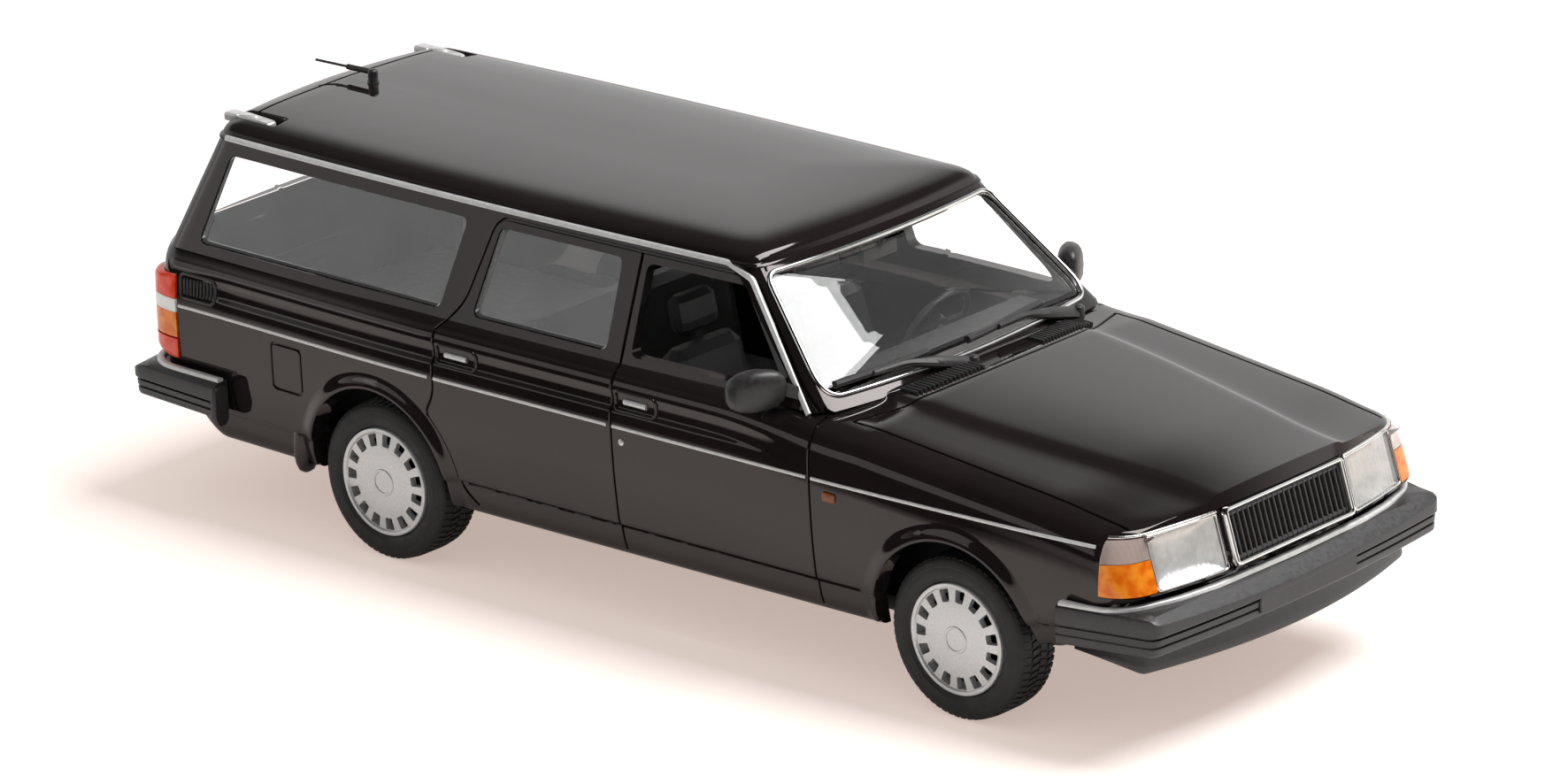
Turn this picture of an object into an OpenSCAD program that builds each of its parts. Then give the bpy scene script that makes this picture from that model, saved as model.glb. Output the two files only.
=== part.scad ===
// Die-cast display model of a boxy five-door station wagon, 1:43.
// +X is the front, +Z is up, and the origin is on the floor below the middle of the model.

/* [Overall] */
// Length over both bumpers
model_length = 112; // [108:0.5:118]
// Width of the body over the doors
body_width = 39.4; // [37:0.2:42]
// Height of the roof's crown above the floor
roof_height = 33.7; // [32.8:0.1:35]
// Thickness of the cast walls
wall = 1; // [0.8:0.05:1.2]

/* [Wheels] */
// Distance between the axles
wheelbase = 61.6; // [59:0.2:64]
// From the front bumper's face to the front axle
front_overhang = 20.95; // [20:0.05:22]
// Outer diameter of the tyres
tyre_diameter = 13.6; // [13:0.1:14.2]
// Width of the tyres
tyre_width = 4.4; // [4:0.1:4.8]
// Distance between the outer faces of the tyres on one axle
wheel_face_width = 37; // [36:0.1:37.6]
// Diameter of the wheel covers
cover_diameter = 9.3; // [8.6:0.1:9.8]
// Number of openings round each wheel cover
cover_slots = 15; // [10:1:18]
// Diameter of the axle pins
axle_diameter = 1.6; // [1.2:0.1:2]
// Radius of the wheel openings in the body
arch_radius = 7.9; // [7.6:0.1:8.3]

/* [Body heights] */
// Underside of the sills
sill_height = 6.1; // [5.6:0.1:6.6]
// Lower edge of the doors
door_foot_height = 9; // [8.6:0.1:9.4]
// Bright strip along the flanks
strip_height = 17.7; // [17.2:0.1:18.2]
// Foot of the side windows
belt_height = 23.4; // [23:0.1:24]
// From the roof's crown down to the rain gutters
gutter_height = 1.7; // [1.3:0.1:2.1]
// Front edge of the bonnet at the wings
bonnet_front_height = 18.4; // [18:0.1:19]
// Rear edge of the bonnet at the wings
bonnet_rear_height = 21.5; // [21:0.1:22]
// Rise of the bonnet's middle above its edges
bonnet_rise = 1.45; // [1:0.05:1.8]

/* [Body lengths] */
// From the front bumper's face back to the grille
nose_setback = 2; // [1.6:0.1:2.6]
// From the rear bumper's face forward to the tail
tail_setback = 2.7; // [2.2:0.1:3.2]
// From the front axle back to the rear edge of the bonnet
cowl_x = 9.35; // [8.6:0.05:10]
// From the front axle back to the gap between the front door and the wing
front_door_x = 13.75; // [13.4:0.05:14.2]
// From the front axle back to the gap between the two doors
middle_door_x = 34.95; // [34.4:0.05:35.4]
// From the rear axle forward to the gap between the rear door and the rear wing
rear_door_x = 7.05; // [6.5:0.05:7.6]
// From the front axle back to the foot of the windscreen at its corners
screen_foot_x = 14.35; // [14:0.05:14.9]
// From the front axle back to the head of the windscreen at its corners
screen_head_x = 23.85; // [23.2:0.05:24.4]
// From the tail forward to the foot of the tailgate window at its corners
tailgate_foot_x = 1.9; // [1.3:0.1:2.3]
// From the tail forward to the head of the tailgate at its corners
tailgate_head_x = 4.9; // [4.3:0.1:5.5]

/* [Windows] */
// From the rain gutters down to the upper edge of the side windows
window_head_height = 1.4; // [1:0.1:1.8]
// Thickness of the clear panes
pane = 0.6; // [0.4:0.05:0.7]
// Rounding of the window corners
window_round = 0.6; // [0.4:0.05:0.9]

/* [Bumpers] */
// Height of the bumpers' lower edge
bumper_foot = 9.5; // [9.2:0.1:9.8]
// Height of the bumper mouldings
bumper_height = 3.2; // [2.8:0.1:3.6]
// Thickness of the bumper mouldings
bumper_depth = 1.7; // [1.4:0.1:2]
// Length of the front bumper along the wing
front_bumper_return = 9.6; // [9:0.1:10]
// Length of the rear bumper along the wing
rear_bumper_return = 12.8; // [12:0.1:13.4]

/* [Base] */
// Thickness of the base plate
base_thickness = 1.2; // [1:0.1:1.6]
// Radius of the holes for the display screws
display_hole_radius = 1.1; // [0.9:0.05:1.3]
// Depth of the holes for the display screws
display_hole_depth = 5; // [4:0.5:6]
// From the front axle back to the front display screw hole
front_hole_x = 14.55; // [13.5:0.05:15]
// From the rear axle forward to the rear display screw hole
display_hole_x = 6.05; // [5.5:0.05:7]

/* [Fits] */
// Gap between pieces that sit in the body
seat_gap = 0.06; // [0.04:0.01:0.1]
// Radial clearance of the axles in their bearings
axle_clearance = 0.05; // [0.02:0.01:0.08]
// Width of the engraved panel gaps
panel_gap = 0.26; // [0.2:0.02:0.36]
// Depth of the engraved panel gaps
panel_depth = 0.24; // [0.16:0.02:0.32]

/* [Hidden] */
$fn = 32;

half_width = body_width / 2;
nose_x = model_length / 2 - nose_setback;
tail_x = -model_length / 2 + tail_setback;
front_axle_x = model_length / 2 - front_overhang;
rear_axle_x = front_axle_x - wheelbase;
screw_places = [rear_axle_x + display_hole_x, front_axle_x - front_hole_x];
axle_z = tyre_diameter / 2;
face_y = wheel_face_width / 2;
shoulder_z = belt_height - 0.8;
bumper_top = bumper_foot + bumper_height;

// Places along the length
cowl = front_axle_x - cowl_x;
front_gap = front_axle_x - front_door_x;
middle_gap = front_axle_x - middle_door_x;
rear_gap = rear_axle_x + rear_door_x;
screen_foot = front_axle_x - screen_foot_x;
screen_head = front_axle_x - screen_head_x;
tail_foot = tail_x + tailgate_foot_x;
tail_head = tail_x + tailgate_head_x;
gutter = roof_height - gutter_height;
window_head = gutter - window_head_height;

// Small helpers
function mix(a, b, t) = a + (b - a) * t;
function limit(v) = max(0, min(1, v));
function ease(v) = let(t = limit(v)) t * t * (3 - 2 * t);
function bend(a, c, b, t) = (1 - t) * (1 - t) * a + 2 * t * (1 - t) * c + t * t * b;
function mirrored(half) = concat(half, [for (i = [len(half) - 2:-1:1]) [-half[i][0], half[i][1]]]);

// Faces of a skin over rings of equal length, closed by a fan at each end
function skin_faces(rings, points) = concat(
    [for (r = [0:rings - 2], p = [0:points - 1])
        let(a = r * points + p, b = r * points + (p + 1) % points)
        [a, a + points, b + points, b]],
    [for (p = [0:points - 1]) [p, (p + 1) % points, rings * points]],
    [for (p = [0:points - 1]) let(o = (rings - 1) * points) [o + (p + 1) % points, o + p, rings * points + 1]]
);
function centre_of(ring) = [for (k = [0:2]) [for (p = ring) p[k]] * [for (p = ring) 1] / len(ring)];
module skin(rings) {
    n = len(rings[0]);
    polyhedron(
        points = concat([for (r = rings, p = r) p], [centre_of(rings[0]), centre_of(rings[len(rings) - 1])]),
        faces = skin_faces(len(rings), n), convexity = 10);
}

// Lower body, lofted from cross-sections along the length
corner_round = 2.4;
nose_lean = 0.3;
nose_sweep = 2.6;
tail_bow = 1;
lamp_rise = 1.2;
lean_level = mix(bumper_top + lamp_rise, bonnet_front_height, 0.53);
bumper_seat = 0.42;
front_bumper_depth = bumper_depth + 0.8;
front_kick = 1.8;
section_count = 15;

function wing_top(x) = x > cowl
    ? mix(bonnet_rear_height, bonnet_front_height, (x - cowl) / (nose_x - cowl))
    : mix(shoulder_z, bonnet_rear_height, ease((x - screen_head) / (cowl - screen_head)));
nose_underside = bumper_foot - 0.2;
function underside(x) = sill_height
    + front_kick * ease((x - front_axle_x) / arch_radius)
    + (nose_underside - sill_height - front_kick) * ease((x - front_axle_x - arch_radius - 1) / 5.5)
    + (nose_underside - sill_height) * ease((tail_x + 7 - x) / 6);
function plan_inset(x) =
    0.75 * ease((x - front_gap) / (nose_x - front_gap))
    + 1.1 * ease((rear_gap - x) / (rear_gap - tail_x));
function corner_inset(x, inset) =
    let(u = limit((min(nose_x - inset - x, x - tail_x - inset)) / corner_round))
    corner_round * (1 - sqrt(1 - (1 - u) * (1 - u)));
function flank_y(x, inset) = half_width - inset - plan_inset(x) - corner_inset(x, inset);
function channel_depth(x) = 0.3 * ease((x - tail_x - 4) / 6) * (1 - ease((x - front_gap + 12) / 12));
function bonnet_crease_y(x) = mix(half_width - 8.9, half_width - 11.7, ease((x - cowl) / (nose_x - cowl)));

function half_section(x, inset, drop) = let(
    y = flank_y(x, inset),
    foot = underside(x) - drop,
    edge = wing_top(x) - inset,
    strip = strip_height * wing_top(x) / shoulder_z - 0.3 * inset,
    span = edge - strip,
    on_bonnet = ease((x - screen_head) / (cowl - screen_head)),
    rise = mix(belt_height - shoulder_z, bonnet_rise, on_bonnet),
    crease = bonnet_crease_y(x),
    hinge = channel_depth(x)
) [
    [0, foot],
    [y - 2.1, foot],
    [y - 1.4, foot + 0.3],
    [y - 0.95, foot + 1.6],
    [y - 0.75, max(door_foot_height, foot + 2.1)],
    [y - 0.42, max(door_foot_height, foot + 2.1) + 0.25],
    [y - 0.08, mix(door_foot_height, strip, 0.5)],
    [y, strip],
    [y - 0.05, strip + 0.24 * span],
    [y - 0.08 - hinge, strip + 0.33 * span],
    [y - 0.12 - hinge, strip + 0.52 * span],
    [y - 0.2, strip + 0.62 * span],
    [y - 0.5, strip + 0.82 * span],
    [y - 1.35, edge],
    [y - 2.4, edge + 0.3 * rise],
    [min(crease + 0.7, y - 3), edge + 0.52 * rise],
    [min(crease, y - 3.4), edge + 0.78 * rise],
    [crease * 0.5, edge + 0.95 * rise],
    [0, edge + rise]
];

// The nose leans and sweeps back at its corners, and the tail is bowed in plan
function lean_at(z) = nose_lean * (lean_level - z);
function nose_offset(z) = let(foot = bumper_top + 1, behind = nose_setback - front_bumper_depth - bumper_seat)
    mix(lean_at(max(z, foot)), behind, limit(foot - z));
function placed(x, p) = let(
    front = ease((x - front_axle_x - 8) / (nose_x - front_axle_x - 8)),
    rear = ease((rear_axle_x - 12 - x) / (rear_axle_x - 12 - tail_x)),
    share = pow(p[0] / half_width, 2)
) [x + front * (nose_offset(p[1]) - nose_sweep * share) + rear * tail_bow * share, p[0], p[1]];

function body_stations(inset) = let(a = tail_x + inset, b = nose_x - inset, r = corner_round) concat(
    [for (t = [0:18:72]) a + r * (1 - cos(t))],
    [for (i = [0:section_count]) mix(a + r, b - r, i / section_count)],
    [for (t = [72:-18:0]) b - r * (1 - cos(t))]
);
// Hollow of the lower body, drawn plainly
hollow_points = [0, 1, 4, 7, 11, 13, 14, 18];
module lower_hollow() {
    inset = wall + 0.25;
    a = tail_x + inset;
    b = nose_x - inset;
    stations = [a, a + 0.7, a + corner_round, mix(a, rear_gap, 0.4), rear_gap - 0.5, middle_gap - 0.1,
        screen_head + 0.8, screen_foot - 0.7, cowl, front_axle_x + 1.3, front_axle_x + 8,
        b - corner_round - 3, b - corner_round, b - 0.7, b];
    skin([for (x = stations)
        let(half = half_section(x, inset, 4))
        [for (p = mirrored([for (i = hollow_points) half[i]])) placed(x, p)]]);
}
// Rings that close an end, each a smaller copy of the last section
function end_rings(x, section, shares) = let(middle = mix(sill_height, bonnet_front_height, 0.5))
    [for (k = shares) [for (p = section) placed(x, [p[0] * k, mix(middle, p[1], k)])]];
module lower_body(inset = 0) {
    a = tail_x + inset;
    b = nose_x - inset;
    skin(concat(
        end_rings(a, mirrored(half_section(a, inset, 0)), [0.35, 0.7]),
        [for (x = body_stations(inset)) [for (p = mirrored(half_section(x, inset, 0))) placed(x, p)]],
        end_rings(b, mirrored(half_section(b, inset, 0)), [0.7, 0.35])
    ));
}

// Greenhouse and roof, lofted from plan outlines stacked in height
head_half_front = half_width - 5.7;
head_half_rear = half_width - 5.5;
foot_half_front = half_width - 2.8;
foot_half_rear = half_width - 2.5;
side_bulge = 0.7;
screen_bow_foot = 2;
screen_bow_head = 1;
pillar_round = 1.6;
gutter_lip = 0.3;

function cabin_level(z) = (z - belt_height) / (gutter - belt_height);
function cabin_side(x, t) = let(
    front = mix(screen_foot, screen_head, t),
    rear = mix(tail_foot, tail_head, t),
    s = (x - rear) / (front - rear)
) mix(mix(foot_half_rear, head_half_rear, t), mix(foot_half_front, head_half_front, t), s)
    + side_bulge * 4 * s * (1 - s);

// One plan outline, drawn in by inset and at its tail by tail_inset, with the sides pushed out by lip
function cabin_ring(z, inset, tail_inset, lip) = let(
    t = cabin_level(max(belt_height - 1, min(z, gutter))),
    front = mix(screen_foot, screen_head, t) - inset,
    rear = mix(tail_foot, tail_head, t) + tail_inset,
    bow = max(0, mix(screen_bow_foot, screen_bow_head, t) - 0.05 * inset),
    r = pillar_round,
    side = function (x) max(0.2, cabin_side(x, t) - inset + lip),
    yf = side(front - r) - r * 0.8,
    yr = side(rear + r) - r,
    left = concat(
        [for (i = [0:3]) let(y = yf * i / 3) [front + bow * (1 - pow(y / (yf + r), 2)), y]],
        [for (i = [1:2]) let(k = i / 3)
            [bend(front + bow * (1 - pow(yf / (yf + r), 2)), front, front - r, k),
             bend(yf, side(front), side(front - r), k)]],
        [for (i = [0:6]) let(x = mix(front - r, rear + r, i / 6)) [x, side(x)]],
        [for (i = [1:2]) let(k = i / 3)
            [bend(rear + r, rear, rear - 0.2, k), bend(side(rear + r), side(rear), yr, k)]],
        [for (i = [0:3]) let(y = yr * (3 - i) / 3) [rear - 0.2 - tail_bow * (1 - pow(y / yr, 2)), y]]
    )
) [for (p = concat(left, [for (i = [len(left) - 2:-1:1]) [left[i][0], -left[i][1]]])) [p[0], p[1], z]];

roof_crown = roof_height - gutter;
// Share of the crown's height, and inset, of each outline of the roof
crown_steps = [[0.25, 0.3], [0.5, 1], [0.75, 2.9], [0.92, 6.5], [1, 11.5]];
// The roof stays nearly flat up to its rear edge, so the outlines draw in less there
rear_crown = 0.3;
function roof_z(inset) = gutter + roof_crown * lookup(inset, [for (k = crown_steps) [k[1], k[0]]]);
// Height, inset, inset at the tail and lip of each outline from the waist to the crown
function cabin_outlines(inset, foot) = concat(
    [[foot, inset, inset, 0]],
    [for (k = [0.25, 0.72]) [mix(belt_height, gutter, k), inset, inset, 0]],
    [[gutter - 0.3 - inset, inset, inset, 0]],
    inset > 0 ? [] : [[gutter - 0.2, 0, 0, gutter_lip], [gutter + 0.06, 0, 0, gutter_lip],
        [gutter + 0.1, 0.05, 0.05, 0]],
    [for (k = crown_steps)
        [gutter + k[0] * roof_crown - inset, inset + k[1], inset + rear_crown * k[1], 0]]
);
module greenhouse(inset = 0, foot = belt_height - 1) {
    skin([for (o = cabin_outlines(inset, foot - inset / 2)) cabin_ring(o[0], o[1], o[2], o[3])]);
}
module outer_skin(inset = 0) {
    lower_body(inset);
    greenhouse(inset);
}

// Window outlines seen from the side, each as four corners from the rear foot round to the front foot
window_foot = belt_height - 0.17;
cargo_window = [
    [tail_foot + 3.4, window_foot], [tail_head + 2.2, window_head],
    [rear_gap + 0.9, window_head], [rear_gap - 0.4, window_foot]];
rear_door_window = [
    [rear_gap + 3.2, window_foot], [rear_gap + 4.5, window_head - 0.15],
    [middle_gap - 1.9, window_head - 0.15], [middle_gap - 1.7, window_foot]];
front_door_window = [
    [middle_gap + 0.9, window_foot], [middle_gap + 0.7, window_head - 0.15],
    [screen_head - 0.7, window_head - 0.15], [screen_foot - 3.2, window_foot]];
screen_opening = [
    [-foot_half_front + 1.5, belt_height + 0.5], [-head_half_front + 1.2, gutter - 0.73],
    [head_half_front - 1.2, gutter - 0.73], [foot_half_front - 1.5, belt_height + 0.5]];
tailgate_opening = [
    [-foot_half_rear + 3, belt_height + 0.4], [-head_half_rear + 2.4, gutter - 1.47],
    [head_half_rear - 2.4, gutter - 1.47], [foot_half_rear - 3, belt_height + 0.4]];

module rounded(corners, shrink = 0) {
    centre = [for (k = [0:1]) [for (c = corners) c[k]] * [1, 1, 1, 1] / 4];
    offset(delta = -shrink) hull() for (c = corners)
        translate([for (k = [0:1]) c[k] + window_round * sign(centre[k] - c[k])])
            circle(window_round, $fn = 12);
}
module across(depth = 60) { rotate([90, 0, 0]) linear_extrude(depth, center = true) children(); }
module along(from_x, to_x) {
    translate([from_x, 0, 0]) rotate([90, 0, 90]) linear_extrude(to_x - from_x) children();
}
module right_only() {
    intersection() { children(); translate([-100, -100, -10]) cube([200, 100, 80]); }
}
// Joins a lofted skin and what is cut from it into one piece, with its size kept
module moulded() { resize([0, 0, 0]) children(); }

// Engraved panel gaps on the flanks, as thin outlines seen from the side
module gap_line(points) {
    for (i = [0:len(points) - 2]) hull() for (p = [points[i], points[i + 1]])
        translate(p) circle(d = panel_gap, $fn = 4);
}
arch_centre_z = axle_z + 0.5;
module flank_gaps() {
    door_top = window_head + 0.55;
    arch_gap = arch_radius + 1.5;
    gap_line([[front_gap, sill_height + 0.6], [front_gap - 0.3, belt_height - 1]]);
    gap_line([[front_gap - 0.3, belt_height - 1], [screen_head + 0.9, door_top], [middle_gap, door_top]]);
    gap_line([[middle_gap + 0.3, sill_height + 0.6], [middle_gap, strip_height - 0.6],
        [middle_gap, door_top]]);
    gap_line([[middle_gap, door_top], [rear_gap + 4, door_top], [rear_gap + 2.2, belt_height + 0.6],
        [rear_gap, shoulder_z - 0.8], [rear_gap, strip_height - 1.5],
        [rear_axle_x + arch_gap * cos(40), arch_centre_z + arch_gap * sin(40)],
        [rear_axle_x + arch_gap * cos(8), arch_centre_z + arch_gap * sin(8)],
        [rear_axle_x + arch_gap + 1.4, sill_height + 0.9]]);
    gap_line([[rear_axle_x + arch_gap + 0.7, door_foot_height], [front_axle_x - arch_gap, door_foot_height]]);
    flap = [for (k = [[-11.9, -4.9], [-11.9, -0.9], [-8.4, -0.9], [-8.4, -4.9]])
        [rear_axle_x + k[0], strip_height + k[1]]];
    for (c = [0:3]) gap_line([flap[c], flap[(c + 1) % 4]]);
}
// Engraved gaps seen from above: bonnet edges and the cowl
module bonnet_gaps() {
    for (side = [-1, 1]) {
        rear_y = side * (half_width - 3.1);
        gap_line([[cowl - 2.6, rear_y], [nose_x - 3, side * (half_width - 3.5)]]);
        gap_line([[cowl - 2.6, rear_y], [cowl - 0.5, side * (half_width - 8.9)], [cowl, 0]]);
    }
}

// Wheel opening seen from the side: a round top on legs that spread to the sill
module arch_outline(axle_x, grow = 0) {
    translate([axle_x, arch_centre_z]) circle(arch_radius + grow, $fn = 36);
    hull() {
        translate([axle_x - arch_radius - grow, arch_centre_z - 2]) square([2 * (arch_radius + grow), 2]);
        translate([axle_x - arch_radius - grow - 0.5, sill_height - 3])
            square([2 * (arch_radius + grow) + 1, 0.1]);
    }
}
lip_width = 0.8;
lip_height = 0.3;
well_y = face_y - tyre_width - 1.2;
module each_arch(grow = 0) {
    for (x = [front_axle_x, rear_axle_x]) arch_outline(x, grow);
}

// Pockets of the lamps and the grille in the nose and the tail, seen along X
grille_half = 7.6;
grille_foot = bumper_top + lamp_rise;
grille_head = bonnet_front_height + 0.1;
lamp_split = half_width - 5.1;
lamp_foot = bumper_top + lamp_rise;
lamp_head = bonnet_front_height - 0.2;
lamp_depth = 1.3;
corner_lamp_reach = 4.1;
tail_lamp_foot = bumper_top + 0.6;
tail_lamp_head = shoulder_z - 1.4;
tail_lamp_inner = half_width - 5.1;
tail_lamp_reach = 3.6;

module nose_region(y0, y1, z0, z1, grow = 0) {
    along(nose_x - 8, nose_x + 6) translate([y0 - grow, z0 - grow])
        square([y1 - y0 + 2 * grow, z1 - z0 + 2 * grow]);
}
module headlamp_region(side, gap, grow = 0) {
    inner = grille_half + 0.5;
    outer = lamp_split - gap;
    nose_region(side > 0 ? inner : -outer, side > 0 ? outer : -inner, lamp_foot, lamp_head, grow);
}
module lamp_skin(outer, inner) {
    difference() { lower_body(outer); lower_body(inner); }
}
module corner_wrap(side, grow = 0) {
    y0 = lamp_split - grow;
    translate([nose_x - corner_lamp_reach - grow, side > 0 ? y0 : -half_width - 2, lamp_foot - grow])
        cube([12, half_width + 2 - y0, lamp_head - lamp_foot + 2 * grow]);
}
module tail_wrap(side, grow = 0) {
    y0 = tail_lamp_inner - grow;
    translate([tail_x - 3, side > 0 ? y0 : -half_width - 2, tail_lamp_foot - grow])
        cube([3 + tail_lamp_reach + grow, half_width + 2 - y0, tail_lamp_head - tail_lamp_foot + 2 * grow]);
}

// Plates of the door handles, seen from the side
handle_long = 4.4;
handle_tall = 1.6;
module handle_plates() {
    for (x = [rear_gap + 0.4, middle_gap + 0.4])
        translate([x, strip_height + 1.45]) square([handle_long, handle_tall]);
}

// One-piece casting: roof, pillars, flanks with engraved doors, bonnet and tailgate
module body_shell() color("black") moulded() {
    difference() {
        union() {
            outer_skin(panel_depth);
            difference() {
                outer_skin();
                across() flank_gaps();
                translate([0, 0, bonnet_front_height - 2]) linear_extrude(10) bonnet_gaps();
            }
            intersection() {
                lower_body(-lip_height);
                across() {
                    difference() { each_arch(lip_width); each_arch(); }
                    handle_plates();
                }
                translate([tail_x, -half_width - 2, sill_height + 1])
                    cube([nose_x - tail_x, body_width + 4, 20]);
            }
        }
        lower_hollow();
        greenhouse(wall, strip_height);
        across() {
            rounded(cargo_window);
            rounded(rear_door_window);
            rounded(front_door_window);
            intersection() { each_arch(); translate([tail_x, -1]) square([nose_x - tail_x, 30]); }
        }
        along(screen_head - 6, screen_foot + 10) rounded(screen_opening);
        along(tail_foot - 6, tail_head + 4) rounded(tailgate_opening);
        on_grille(-8, 6) square([2 * grille_half + 2 * seat_gap, grille_tall + 2 * seat_gap], center = true);
        for (side = [-1, 1]) {
            headlamp_region(side, 0, seat_gap);
            corner_wrap(side, seat_gap);
            tail_wrap(side, seat_gap);
        }
        vent_slots();
    }
}
vent_x = [tail_x + 4.9, tail_x + 8.7];
vent_slot = 0.3;
module vent_slots() {
    for (i = [0:6]) across()
        translate([mix(vent_x[0], vent_x[1], (i + 0.5) / 7) - vent_slot / 2, strip_height + 1.1])
            square([vent_slot, 1.7]);
}

// Panes, cut from the skin of the greenhouse to the window outlines
module pane_skin() {
    difference() { greenhouse(0.15); greenhouse(0.15 + pane); }
}
module windscreen() color("lightblue") moulded() intersection() {
    pane_skin();
    along(screen_head - 3, screen_foot + 10) rounded(screen_opening, seat_gap);
}
module rear_door_glass() color("lightblue") moulded() intersection() {
    pane_skin();
    across() rounded(rear_door_window, seat_gap);
}
module cargo_glass() color("lightblue") moulded() intersection() {
    pane_skin();
    across() rounded(cargo_window, seat_gap);
}
module tailgate_glass() color("lightblue") moulded() intersection() {
    pane_skin();
    along(tail_foot - 6, tail_head + 4) rounded(tailgate_opening, seat_gap);
}

// Lamps and grille
module headlamp(side) color("white") moulded() intersection() {
    lamp_skin(0.05, lamp_depth);
    headlamp_region(side, seat_gap);
}
module corner_lamp(side) color("orange") moulded() intersection() {
    lamp_skin(-0.1, lamp_depth);
    corner_wrap(side, -seat_gap / 2);
}
module tail_lamp(side) color("red") moulded() intersection() {
    lamp_skin(-0.2, lamp_depth);
    tail_wrap(side);
}
frame_width = 0.4;
slat_count = 22;
grille_tall = (grille_head - grille_foot) / cos(atan(nose_lean));
// Leaning plane of the grille, with the outline drawn across and up
module on_grille(from, to) {
    middle = (grille_foot + grille_head) / 2;
    translate([nose_x + nose_offset(middle) - 0.25, 0, middle]) rotate([0, -atan(nose_lean), 0])
        rotate([90, 0, 90]) translate([0, 0, from]) linear_extrude(to - from) children();
}
module grille_frame() color("silver") on_grille(-lamp_depth, 0.4) difference() {
    square([2 * grille_half, grille_tall], center = true);
    square([2 * (grille_half - frame_width), grille_tall - 2 * frame_width], center = true);
}
module grille_slats() color("black") {
    wide = 2 * (grille_half - frame_width - seat_gap);
    tall = grille_tall - 2 * (frame_width + seat_gap);
    pitch = wide / slat_count;
    on_grille(-lamp_depth, -0.8) square([wide, tall], center = true);
    on_grille(-0.8, 0.1) difference() {
        square([wide, tall], center = true);
        for (i = [0:slat_count - 1]) translate([(i + 0.5) * pitch - wide / 2, 0])
            square([pitch * 0.55, tall - 0.8], center = true);
    }
}

// Bumpers: mouldings that wrap round the corners, ribbed along their faces
bumper_corner = 3;
bumper_bow = 0.8;
bumper_flare = 0.35;
function bumper_turn(face_x, half, k) = [
    bend(face_x - bumper_corner - 0.6, face_x - bumper_bow - 0.2, face_x - bumper_bow, k),
    bend(half, half - 0.3, half - bumper_corner, k)];
function bumper_path(face_x, back_x, half) = let(
    flat = half - bumper_corner,
    left = concat(
        [[back_x, half]],
        [for (k = [0:0.25:0.75]) bumper_turn(face_x, half, k)],
        [for (i = [0:4]) let(y = flat * (4 - i) / 4) [face_x - bumper_bow * pow(y / flat, 2), y]])
) concat([for (p = left) [p[0], -p[1]]], [for (i = [len(left) - 2:-1:0]) left[i]]);
// A slice of a bumper between two heights, its face pushed out by out
module bumper_layer(z0, z1, face_x, back_x, out, depth, side_depth) {
    half = half_width + bumper_flare;
    outer = bumper_path(face_x + out, back_x, half + out);
    inner = bumper_path(face_x - depth, back_x, half - side_depth);
    translate([0, 0, z0]) linear_extrude(z1 - z0)
        polygon(concat(outer, [for (i = [len(inner) - 1:-1:0]) inner[i]]));
}
side_depth = 0.75;
// Foot, head and face of each band, the first two as shares of the height: a chamfer, two lower bands between
// grooves, the tall upper band and the top chamfer
bumper_bands = [[0, 0.08, -0.5], [0.08, 0.2, -0.25], [0.2, 0.24, -0.45], [0.24, 0.39, -0.2],
    [0.39, 0.44, -0.5], [0.44, 0.87, 0], [0.87, 1, -0.25]];
module bumper_moulding(face_x, back_x) {
    for (l = bumper_bands)
        bumper_layer(bumper_foot + l[0] * bumper_height, bumper_foot + l[1] * bumper_height, face_x, back_x,
            l[2], bumper_depth, side_depth);
}
module bumper_strip(face_x, back_x) {
    bumper_layer(bumper_top, bumper_top + 0.35, face_x, back_x, -0.3, 0.95, side_depth);
}
bumper_face_x = model_length / 2;
plate_half = 6.2;

// Front bumper: a bowed face with tight corners, sides that spread towards the wheels and a top that
// slopes up to the foot of the nose
function wrapped(left) = concat([for (p = left) [p[0], -p[1]]], [for (i = [len(left) - 2:-1:0]) left[i]]);
function front_path(face_x, back_x, half, bow, taper) = let(
    corner = [face_x - bow, half - taper],
    before = mix(corner, [back_x, half], 0.14),
    after = [face_x - bow * 0.86, corner[1] * 0.93]
) wrapped(concat(
    [[back_x, half]],
    [for (k = [0:0.25:0.75]) [bend(before[0], corner[0], after[0], k), bend(before[1], corner[1], after[1], k)]],
    [for (i = [0:4]) let(u = 0.93 * (4 - i) / 4) [face_x - bow * u * u, corner[1] * u]]
));
front_taper = 1.8;
front_bow = 1;
front_back_x = bumper_face_x - front_bumper_return;
module ring_between(outer, inner) { polygon(concat(outer, [for (i = [len(inner) - 1:-1:0]) inner[i]])); }
front_inner = wrapped([for (k = [[front_back_x - nose_x, 0.6], [-4.8, 0.7], [-3.7, 0.98], [-2.8, 1.6],
    [-2, 2.95], [-0.9, 6.5], [-0.45, 10.2], [-0.15, half_width]]) [nose_x + k[0], half_width - k[1]]]);
strip_outer = wrapped([for (k = [[front_back_x - nose_x, -0.2], [-4.6, 0.35], [-3.3, 0.65], [-2.25, 1.35],
    [-1.4, 2.7], [-0.25, 6.3], [0.25, 10.1], [0.5, half_width]]) [nose_x + k[0], half_width - k[1]]]);
front_bands = [[0, 0.08, -0.5], [0.08, 0.24, -0.25], [0.24, 0.29, -0.45], [0.29, 0.46, -0.2],
    [0.46, 0.51, -0.5], [0.51, 1, 0]];
slope_foot = 0.69;
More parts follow.
